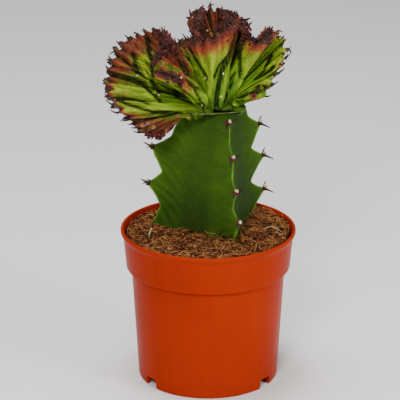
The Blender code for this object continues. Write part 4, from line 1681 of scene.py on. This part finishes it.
        self.rows, values = [], []
        for r, width, lift in self.stations:
            centre = middle(r)
            growth = unit(centre - middle(r - 0.02))
            tangent = unit(np.gradient(centre, axis=0))
            normal = unit(np.cross(tangent, growth))
            speed = np.linalg.norm(np.gradient(centre, axis=0), axis=1, keepdims=True)
            turning = np.gradient(tangent, axis=0) / np.maximum(speed, 1e-6)
            bend = self._fine(smooth(np.sum(turning * normal, axis=1), self.coarse_steps))
            centre, growth, tangent, normal = map(self._fine, (centre, growth, tangent, normal))
            growth, tangent, normal = unit(growth), unit(tangent), unit(normal)
            thick = float(step_up(0, 0.55, r))
            half = self.root_half * (1 - thick) + half_margin * thick
            half = half * (1 + self.rib_depth * float(step_up(0.1, 0.75, r)) * strength * rib)
            half = half * (1 - 0.62 * float(step_up(0.15, 0.6, r)) * ends)
            room = 0.75 / np.maximum(np.abs(bend), 1e-3)
            near_margin = max(0.0, (r - 0.5) / 0.5)
            centre = centre + growth * (self.margin_height * (lift - near_margin))
            teeth = self.rib_tooth * max(0.0, (r - 0.6) / 0.4)
            centre = centre + growth * (teeth * (rib - 1) * strength)[:, None]
            swing = self.fold_depth * min(1.0, max(0.0, 1.3 * r - 0.2))
            centre = centre + normal * (swing * wave)[:, None]
            ripe, last = self._ripeness(r + 0.13 * lift, blush)
            # fold and crease feed only the ridge value, as painted shade and highlight: darker on
            # the hollow side of a bend and between ribs, lighter on the outer side and on the ribs'
            # crests
            fold = np.clip(bend * 8 * MM, -0.8, 0.8)
            crease = 0.16 * rib * float(step_up(0.3, 0.8, r))
            sides, looks = [], []
            for side, way in ((0, 1), (1, -1)):
                free = smooth(np.where(bend * way > 0, np.minimum(half, room), half), 3)
                line, wart = self._relief(along, r, side)
                relief = line + gullies[side](r) + wart
                facing = step_up(0.0, 0.3, -(normal * way) @ CAMERA.forward)
                seen = drawn(centre + normal * (way * free)[:, None], SEEN_FOLDS) * facing
                relief = np.maximum(relief + seen, -0.62 * free)
                sides.append((free + relief) * width)
                hidden = 0.3 * last * side * float(step_up(0.45, 0.8, r))
                # The ridge value paints light and shade: lighter on ridges and darker in grooves,
                # with the drawn creases and ridges weighed in a second time
                ridge = (np.clip((relief + 0.4 * seen) / MM, -1.8, 1.2)
                         + (crease - fold * way) * (1 - 0.6 * self.calm))
                looks.append((ripe + hidden, ridge, dull, self.calm * (1 - side)))
            self.rows.append(Row(centre, normal, growth, tangent, *sides))
            values.append((min(1.0, r) + 0.05 * lift, looks))
        self.ripeness = np.array([sides[0][0] for _level, sides in values])
        return self._close(values, along).build(self.name, "crest_skin", material, replaced)

    def _close(self, values: list[tuple[float, list[tuple[Array, ...]]]],
               along: Array) -> Shell:
        """Join both faces, the round ends and the margin's crown into one skin.

        Args:
            values: For each row its growth, and both faces' ripe, ridge, dull and calm.
            along: Distance of each column along the growing edge.

        Returns:
            The closed skin.
        """
        steps, count = self.end_steps, len(along)
        ends = math.pi / 2 * (1 - 2 * np.arange(1, steps + 1) / (steps + 1))
        ring_size = 2 * count + 2 * steps
        around = np.concatenate([along, np.full(steps, along[-1]), along[::-1] + 1.0,
                                 np.full(steps, along[0])])
        own = ("ripe", "ridge", "dull", "calm")
        looks: dict[str, list[Array]] = {name: [] for name in ("growth", "along", *own)}
        points = []
        for row, (level, face_looks) in zip(self.rows[:-1], values):
            left_side, right_side = row.faces()
            caps, rough = [], []
            for i, way in ((-1, 1), (0, -1)):
                middle = (left_side[i] + right_side[i]) / 2
                half = (row.left[i] + row.right[i]) / 2 * way
                arc = np.outer(np.cos(ends), row.tangent[i]) + np.outer(np.sin(ends), row.normal[i])
                folds = lattice_noise(ends * 2.6, np.full(steps, 7.0 * level), self.seed + 40 + i)
                caps.append(middle + (half * (1 + 0.3 * folds))[:, None] * arc)
                # the ends' ridge values follow their lumps, which paints a highlight on the lumps
                # and shade between them
                rough.append(2.2 * folds - 0.6)
            points.append(np.vstack([left_side, caps[0], right_side[::-1], caps[1]]))
            looks["growth"].append(np.full(ring_size, level))
            looks["along"].append(around)
            for name, near, far in zip(own, *face_looks):
                last, first = rough if name == "ridge" else (np.zeros(steps),) * 2
                looks[name].append(
                    np.concatenate([near, near[-1] + last, far[::-1], near[0] + first]))
        level, (near_looks, _far_looks) = values[-1]
        for name, crown in zip(looks, (np.full(count, level), along, *near_looks)):
            looks[name].append(crown)
        faces = ring_faces(len(points), ring_size)
        first, top = (len(points) - 1) * ring_size, len(points) * ring_size
        for i in range(count - 1):
            mirror = first + 2 * count + steps - 1 - i
            faces.append((first + i, first + i + 1, top + i + 1, top + i))
            faces.append((mirror, top + i, top + i + 1, mirror - 1))
        for j in range(steps + 1):
            faces.append((first + count - 1 + j, first + count + j, top + count - 1))
            after = first + (2 * count + steps + j) % ring_size
            faces.append((first + 2 * count + steps - 1 + j, after, top))
        faces.append(tuple(range(ring_size))[::-1])
        return Shell().add(np.vstack([*points, self.rows[-1].centre]), faces,
                           **{name: np.concatenate(parts) for name, parts in looks.items()})

    def _outward(self, row: int) -> tuple[tuple[Array, Array], ...]:
        """Find where things stand in one row.

        Args:
            row: Number of the row.

        Returns:
            Points and outward ways of the left face, then of the right one.
        """
        own, lift = self.rows[row], self.stations[row][2]
        out = math.cos(math.asin(min(1.0, lift)))
        ways = (unit(own.normal * way * out + own.growth * lift) for way in (1, -1))
        return tuple(zip(own.faces(), ways))

    def knobs(self) -> Shell:
        """Crowd small knobs over the grainy stretches of the margin, fewer down both faces.

        Returns:
            The knobs.
        """
        rng = np.random.default_rng(self.seed + 100)
        every = self.knob_pitch / float(np.mean(np.diff(self._fine(self.along))))
        centres, ways, tones, sizes = [], [], [], []
        for step, *chances in self.knob_rows:
            row = self.first_margin + step
            for side, ((line, way), chance) in enumerate(zip(self._outward(row), chances)):
                picks = np.arange(rng.uniform(0, every), len(line) - 1, every)
                picks = picks + rng.uniform(-0.4, 0.4, len(picks)) * every
                picks = np.clip(np.round(picks), 0, len(line) - 1).astype(int)
                share = chance * self.grain[picks]
                if side == 0 and step < 6:
                    share = share * self.ripening[picks]
                picks = picks[rng.uniform(0, 1, len(picks)) < share]
                size = rng.uniform(0.42, 0.85, len(picks)) * MM
                jitter = rng.normal(0, 0.35, (len(picks), 3)) * MM
                centres.append(line[picks] - way[picks] * 0.15 * MM + jitter)
                ways.append(unit(way[picks] + self.rows[row].growth[picks] * 0.5
                                 + rng.normal(0, 0.3, (len(picks), 3))))
                sizes.append(np.stack([size, size * rng.uniform(1.0, 2.0, len(picks))], axis=1))
                tone = np.clip(1.9 * (self.ripeness[row][picks] - 0.62), 0.0, 0.68)
                lot = rng.uniform(0, 1, len(picks))
                tones.append(tone + rng.normal(0, 0.12, len(picks)) + 0.18 * (lot > 0.85)
                             + 0.25 * (lot > 0.95))
        points, faces = blobs(np.vstack(centres), np.vstack(ways), np.vstack(sizes), rng)
        tone = np.repeat(np.clip(np.concatenate(tones), 0, 1), BLOB_POINTS)
        return Shell().add(points, faces, tone=tone)

    def spines(self) -> Shell:
        """Set hooked spines with swollen roots at the ends of the ribs, on both sides.

        Returns:
            The spines.
        """
        rng = np.random.default_rng(self.seed + 200)
        rib, shell = self.rib, Shell()
        peaks = np.array([i for i in range(2, len(rib) - 2)
                          if rib[i] >= rib[i - 1] and rib[i] > rib[i + 1]])
        for step, chance, length in self.spine_rows:
            row = self.rows[self.first_margin + step]
            for line, way in self._outward(self.first_margin + step):
                picks = peaks[rng.uniform(0, 1, len(peaks)) < chance]
                picks = np.clip(picks + rng.integers(-2, 3, len(picks)), 0, len(line) - 1)
                out, run, one = way[picks], row.tangent[picks], (len(picks), 1)
                heads = out * rng.uniform(0.3, 0.9, one) + row.growth[picks] * 0.85
                heads = heads + run * rng.normal(0, 0.35, one)
                lengths = length * rng.uniform(0.55, 1.2, len(picks)) * MM
                bends = run * rng.normal(0, 1.6, one) - out * rng.uniform(-0.4, 1.0, one)
                shell.add(*thorns(line[picks], unit(heads), bends * lengths[:, None] * 0.45,
                                  lengths, rng.uniform(0.75, 1.1, len(picks)) * MM))
        return shell


FRONT_EDGE = (
    (-29, -12, 177, 5.0, 0.75, 0.96, 0.90), (-38, -15, 177, 6.0, 0.72, 0.96, 0.90),
    (-50, -19, 187, 6.0, 0.50, 0.90, 0.60), (-61, -20, 198, 5.0, 0.12, 0.60, 0.25),
    (-68, -15, 207, 4.5, 0.12, 0.50, 0.15), (-69, -4, 217, 4.5, 0.22, 0.62, 0.25),
    (-65, 3, 228, 4.5, 0.28, 0.75, 0.30), (-58, 9, 237, 4.5, 0.36, 0.80, 0.30),
    (-47, 13, 242, 4.5, 0.42, 0.84, 0.30), (-35, 13, 245, 4.5, 0.46, 0.84, 0.50),
    (-31, 4, 241, 4.5, 0.42, 0.60, 1.00), (-33, -8, 235, 4.5, 0.36, 0.50, 1.00),
    (-36, -20, 230, 4.3, 0.070, 0.60, 0.25), (-32, -28, 227, 4.0, 0.066, 0.60, 0.12),
    (-25, -29, 225, 4.0, 0.066, 0.60, 0.12), (-19, -26, 220, 4.0, 0.10, 0.75, 0.50),
    (-16, -18, 215, 3.8, 0.34, 0.80, 1.00), (-17, -9, 221, 3.6, 0.16, 0.80, 0.90),
    (-20, 2, 230, 3.6, 0.12, 0.70, 0.60), (-21, 11, 236, 3.6, 0.10, 0.70, 0.40),
    (-16, 13, 238, 3.6, 0.10, 0.80, 0.30), (-13, 4, 240, 3.6, 0.10, 0.70, 0.30),
    (-14, -8, 243, 3.8, 0.16, 0.60, 0.30), (-11, -19, 247, 4.2, 0.26, 0.40, 0.35),
    (-4, -26, 250, 4.5, 0.27, 0.30, 0.40), (4, -28, 254, 4.5, 0.28, 0.25, 0.40),
    (11, -23, 256, 4.5, 0.28, 0.30, 0.40), (15, -13, 257, 4.5, 0.34, 0.60, 0.45),
    (16, 0, 258, 4.5, 0.34, 0.60, 0.50), (14, 12, 258, 4.5, 0.34, 0.30, 0.35),
    (7, 19, 258, 4.5, 0.28, 0.40, 0.25), (-3, 20, 258, 4.5, 0.22, 0.60, 0.20),
    (-9, 12, 258, 4.8, 0.34, 0.25, 0.35), (-10, 2, 256, 4.8, 0.40, 0.70, 0.50),
    (-9, -7, 251, 4.5, 0.36, 0.70, 0.40),
)
BACK_EDGE = (
    (-42, 20, 206, 4.5, 0.36, 0.60, 0.60), (-37, 31, 212, 4.5, 0.36, 0.60, 0.60),
    (-26, 38, 215, 4.2, 0.36, 0.60, 0.60), (-14, 41, 220, 4.2, 0.36, 0.60, 0.60),
    (-3, 41, 231, 4.2, 0.38, 0.60, 0.90), (8, 36, 241, 4.2, 0.42, 0.60, 1.00),
    (16, 27, 247, 4.2, 0.44, 0.60, 1.00), (23, 17, 251, 4.2, 0.44, 0.60, 1.00),
    (25, 5, 249, 4.2, 0.38, 0.60, 1.00), (27, -6, 244, 4.0, 0.22, 0.60, 0.90),
    (30, -16, 245, 3.6, 0.18, 0.40, 0.45), (35, -20, 247, 3.4, 0.22, 0.15, 0.25),
    (40, -16, 248, 3.4, 0.20, 0.15, 0.25), (41, -6, 248, 3.6, 0.13, 0.10, 0.30),
    (43, 4, 247, 3.8, 0.08, 0.08, 0.35), (49, 7, 243, 4.0, 0.05, 0.05, 0.45),
    (53, 5, 234, 4.2, 0.03, 0.05, 0.05), (51, 2, 225, 4.2, 0.03, 0.05, 0.03),
    (46, 0, 216, 4.2, 0.03, 0.05, 0.05), (40, -3, 210, 4.2, 0.04, 0.10, 0.08),
    (35, -5, 207, 4.0, 0.05, 0.20, 0.10), (30, -7, 204, 4.0, 0.05, 0.30, 0.10),
)
# Creases and ridges drawn on the faces turned to the camera: half width in pixels, height in mm,
# then the pixels of each. Besides their relief they feed the ridge value, which paints shade in the
# creases and a highlight on the ridges.
SEEN_FOLDS = (
    (2.4, -1.3, 133, 51, 137, 72), (1.5, -1.9, 119, 75, 134, 79, 142, 83, 161, 101),
    (1.4, -1.7, 152, 66, 153, 82, 159, 93), (1.2, -1.2, 116, 96, 135, 99, 149, 104),
    (1.8, -1.7, 116, 99, 131, 105, 153, 112, 181, 114), (2.2, -2.2, 176, 80, 177, 96),
    (1.4, -1.7, 177, 55, 191, 83), (1.6, -2.2, 187, 46, 197, 63, 206, 78),
    (1.5, -1.6, 184, 73, 191, 83, 200, 88), (1.4, -1.8, 180, 98, 202, 107),
    (2.6, -2.4, 238, 33, 233, 51, 229, 61, 223, 70, 217, 95, 216, 112),
    (2.0, -2.2, 241, 38, 238, 51, 239, 66, 241, 78), (1.3, -1.7, 233, 83, 229, 90, 225, 103),
    (1.3, -1.8, 271, 56, 264, 70, 255, 79), (1.6, -1.4, 257, 78, 270, 72, 273, 66),
    (1.3, -1.6, 239, 97, 258, 88, 276, 81), (1.5, -1.2, 230, 101, 247, 104),
    (1.4, -1.7, 185, 62, 194, 86, 203, 108), (1.4, -1.9, 229, 56, 220, 66, 214, 78),
    (1.2, 1.3, 139, 58, 146, 75, 150, 87, 157, 94), (1.0, 0.7, 131, 41, 139, 58),
    (2.6, 0.7, 111, 89, 142, 90, 161, 107, 184, 111), (1.3, 0.9, 181, 55, 193, 70),
    (2.0, 0.9, 214, 51, 212, 70, 210, 88, 209, 95), (1.3, 0.9, 226, 73, 225, 85, 223, 99),
    (1.2, 1.5, 284, 51, 275, 70, 262, 79, 242, 90, 236, 97, 223, 114),
    (2.0, 0.6, 247, 61, 245, 78, 239, 84), (1.1, 1.1, 279, 74, 258, 84, 244, 92),
)
FRONT_CREASES = (
    (1.9, 2.4, 0.10, 1.00, -2.2, 1.8), (3.0, 3.1, 0.12, 0.95, 0.9, 1.4),
    (3.5, 3.7, 0.45, 1.05, -1.4, 1.2), (4.5, 5.1, 0.12, 1.05, -2.8, 2.0),
    (4.7, 7.3, 0.40, 0.92, 1.5, 1.2), (5.5, 8.1, 0.42, 0.95, -2.2, 1.8),
    (5.3, 6.2, 0.55, 1.05, -1.4, 1.2), (6.4, 8.9, 0.50, 0.95, 0.9, 1.2),
    (9.0, 9.5, 0.25, 1.05, -2.4, 1.6), (12.0, 12.1, 0.50, 1.05, -1.4, 1.2),
    (13.2, 13.2, 0.20, 0.90, 0.9, 1.5), (14.8, 14.9, 0.10, 1.05, -2.4, 1.6),
    (17.2, 17.0, 0.10, 1.05, -2.2, 1.6), (18.3, 18.0, 0.10, 0.95, 1.2, 1.0),
    (19.1, 18.9, 0.10, 1.05, -2.2, 1.6), (20.2, 19.9, 0.10, 0.92, 1.3, 1.0),
    (21.2, 21.0, 0.10, 1.05, -2.2, 1.5), (22.3, 22.2, 0.08, 1.05, -2.4, 1.9),
    (24.2, 23.8, 0.30, 0.80, 0.5, 2.6),
    (26.6, 27.5, 0.02, 0.60, -2.6, 3.6), (27.6, 27.9, 0.10, 1.05, -2.4, 2.2),
)
BACK_CREASES = (
    (9.3, 9.2, 0.05, 1.05, -2.6, 3.0), (10.6, 10.6, 0.10, 0.50, -1.6, 1.8),
    (12.0, 11.8, 0.20, 0.80, 0.6, 2.2), (13.5, 13.8, 0.05, 1.05, -2.6, 1.7),
    (14.5, 14.6, 0.15, 0.98, 1.2, 1.2), (15.5, 15.5, 0.25, 1.05, -1.5, 1.1),
    (16.4, 16.4, 0.08, 0.98, 1.6, 1.2), (17.3, 17.3, 0.15, 1.05, -1.9, 1.3),
    (18.1, 18.1, 0.08, 0.95, 1.4, 1.2), (19.0, 19.0, 0.10, 1.05, -1.6, 1.2),
    (20.1, 20.1, 0.10, 0.95, 0.9, 1.2),
)


@dataclass
class Crest:
    """The grafted fan: two folded sheets with knobby, spiny margins, grown together."""

    front: FoldedSheet = field(default_factory=lambda: FoldedSheet(
        "crest_front_fold", 3, FRONT_EDGE, ((-6, -4, 195.5), (10, -7, 195.5)), FRONT_CREASES,
        ((3.2, 4.8), (12.4, 14.6), (22.6, 26.6))))
    back: FoldedSheet = field(default_factory=lambda: FoldedSheet(
        "crest_back_fold", 5, BACK_EDGE, ((-4, 4, 196), (16, -2, 196)), BACK_CREASES,
        ((9.8, 12.8),)))

    def build(self) -> list[Piece]:
        """Make both sheets and what grows on their margins.

        Returns:
            The sheets' objects.
        """
        skin = CrestSkin("ripening_skin").build()
        sheets = [self.front.build(skin, "crest"), self.back.build(skin)]
        knob_skin = KnobSkin("margin_knob").build()
        horn = SpineHorn("margin_spine").build()
        for sheet, part in ((self.front, "front"), (self.back, "back")):
            sheet.knobs().build(f"crest_{part}_knobs", "crest_skin", knob_skin)
            sheet.spines().build(f"crest_{part}_spines", "crest_skin", horn)
        return sheets


@dataclass
class SmallThings:
    """Things seated on the skin where the photograph shows them."""

    seats: Seats
    wool_dots: tuple[Pair, ...] = (
        (158.7, 94.7), (206, 78), (201.8, 105.4), (223.5, 73.5), (221.2, 96.5), (137.5, 76),
        (230.1, 112.6), (181, 77), (163, 64), (207, 31.5))
    # each small leaf: pixel of its root on the margin, then the pixels that its rim runs through
    scale_leaves: tuple[tuple[Pair, ...], ...] = (
        ((113, 84), (111, 86), (109.6, 87.5), (106.8, 86.6), (104.4, 84), (103, 80.6),
         (103.9, 79.2), (106.4, 79.6), (109, 81.6), (111.2, 84.4)),
        ((119, 54), (118, 53), (115.8, 50.4), (113.2, 48.7), (112.4, 48.2), (113.4, 47.2),
         (116, 47), (118.2, 49.4), (119.4, 53)))
    leaf_cup: float = 1.2 * MM
    leaf_rim: float = 0.42 * MM
    leaf_faces: Pair = (0.15 * MM, 0.45 * MM)       # how far both faces lie behind the rim
    graft_centre: Pair = (3.0 * MM, -1.5 * MM)
    graft_z: float = 194.2 * MM
    graft_reach: float = 40 * MM
    seam: float = 0.5 * MM

    def build(self) -> None:
        """Seat the dots of wool, hang the small leaves and lay the callus of the graft."""
        rng = np.random.default_rng(51)
        wool = Shell()
        for seat in filter(None, map(self.seats.at, self.wool_dots)):
            point, out = seat
            puffs = point + out * 0.3 * MM + rng.normal(0, 0.28, (5, 3)) * MM
            wool.add(*blobs(puffs, unit(rng.normal(0, 1, (5, 3))),
                            rng.uniform(0.4, 0.62, (5, 2)) * MM, rng))
        wool.build("crest_wool", "crest_skin", DryTissue("crest_wool").build())
        self._leaves()
        self._callus(rng)

    def _leaves(self) -> None:
        """Hang the small dark-rimmed scale leaves that stand off the left margin."""
        rims, blades = Shell(), Shell()
        for root, *pixels in self.scale_leaves:
            seat = self.seats.at(root)
            if seat is None:
                continue
            depth = (seat[0] - np.array(CAMERA.aim)) @ CAMERA.forward + CAMERA.distance
            ways = np.array([CAMERA.ray(pixel) for pixel in pixels])
            path = CAMERA.place + ways * (depth / (ways @ CAMERA.forward))[:, None]
            count = len(path)
            path[:, 1] += self.leaf_cup * np.sin(np.linspace(0, math.pi, count))
            rims.add(*tubes(path[None], np.full((1, count), self.leaf_rim), 6))
            around, back = np.vstack([path.mean(axis=0), path]), count + 1
            turns = [(1 + k, 1 + (k + 1) % count) for k in range(count)]
            blades.add(np.vstack([around + CAMERA.forward * gap for gap in self.leaf_faces]),
                       [(0, b, a) for a, b in turns]
                       + [(back, back + a, back + b) for a, b in turns]
                       + [(a, b, back + b, back + a) for a, b in turns])
        rims.build("scale_leaf_rims", "crest_skin", SpineHorn("leaf_rim").build())
        finish = DryTissue("leaf_blade", fineness=(500.0, 1500.0, 1000.0, 2500.0),
                           pale=(0.22, 0.20, 0.05), dark=(0.10, 0.05, 0.02))
        blades.build("scale_leaf_blades", "crest_skin", finish.build())

    def _callus(self, rng: np.random.Generator) -> None:
        """Lay a knotty seam round the crest's foot, where it grew together with the stem.

        Args:
            rng: Source of the seam's unevenness.
        """
        ring = []
        for turn in np.linspace(0, TURN, 110, endpoint=False):
            way = np.array([math.cos(turn), math.sin(turn), 0.0])
            start = np.array([*self.graft_centre, self.graft_z]) + way * self.graft_reach
            hit, _normal, _index, _length = self.seats.tree.ray_cast(
                Vector(start + POT_AXIS), Vector(-way), self.graft_reach)
            if hit is not None:
                ring.append(np.array(hit) - POT_AXIS)
        path = smooth_ring(np.array(ring), 2)
        path[:, 2] = self.graft_z - 0.8 * MM
        path = np.vstack([path, path[:1]]) + rng.normal(0, 0.1, (len(path) + 1, 3)) * MM
        radii = self.seam * rng.uniform(0.5, 1.3, len(path))
        seam = Shell().add(*tubes(path[None], radii[None], 7))
        finish = DryTissue("pale_callus", fineness=(700.0, 2100.0, 1400.0, 3500.0),
                           pale=(0.17, 0.22, 0.05), dark=(0.05, 0.07, 0.015))
        seam.build("graft_callus", "crest_skin", finish.build())


@dataclass(frozen=True)
class Lamp:
    """One soft square light that faces the plant."""

    name: str
    place: Triple
    size: float
    power: float
    aim: Triple = (0.0, 0.0, 140 * MM)

    def build(self) -> None:
        """Hang the lamp."""
        data = bpy.data.lights.new(self.name, "AREA")
        data.size = self.size
        data.energy = self.power
        lamp = hang(self.name, data)
        lamp.location = self.place
        way = Vector(self.aim) - Vector(self.place)
        lamp.rotation_euler = way.to_track_quat("-Z", "Y").to_euler()


@dataclass
class Studio:
    """Pale floor and soft lights."""

    floor_radius: float = 6.0
    floor_sides: int = 64
    world_light: float = 0.20
    lamps: tuple[Lamp, ...] = (
        Lamp("key_light", (-0.25, -1.35, 1.15), 0.45, 19.0),
        Lamp("right_light", (1.15, -0.75, 0.75), 0.45, 11.5),
        Lamp("top_light", (-0.15, 0.1, 1.6), 0.6, 21.0))

    def build(self) -> None:
        """Lay the floor, light the world and hang the lamps."""
        mesh = bpy.data.meshes.new("studio_floor")
        turns = np.arange(self.floor_sides) * TURN / self.floor_sides
        mesh.from_pydata([(self.floor_radius * math.cos(t), self.floor_radius * math.sin(t), 0.0)
                          for t in turns], [], [tuple(range(self.floor_sides))])
        mesh.materials.append(Paper("pale_floor").build())
        hang("studio_floor", mesh)
        world = bpy.data.worlds.new("soft_world")
        world.use_nodes = True
        sky = world.node_tree.nodes["Background"].inputs
        sky["Color"].default_value = (1.0, 1.0, 1.0, 1.0)
        sky["Strength"].default_value = self.world_light
        bpy.context.scene.world = world
        for lamp in self.lamps:
            lamp.build()


def main() -> None:
    """Build the camera, the plant, its pot and the studio."""
    logging.basicConfig(level=logging.INFO, format="%(name)s: %(message)s")
    CAMERA.build()
    Pot().build()
    Soil().build()
    stem = Rootstock().build()
    sheets = Crest().build()
    SmallThings(Seats([stem, *sheets])).build()
    Studio().build()


if __name__ == "__main__":
    main()
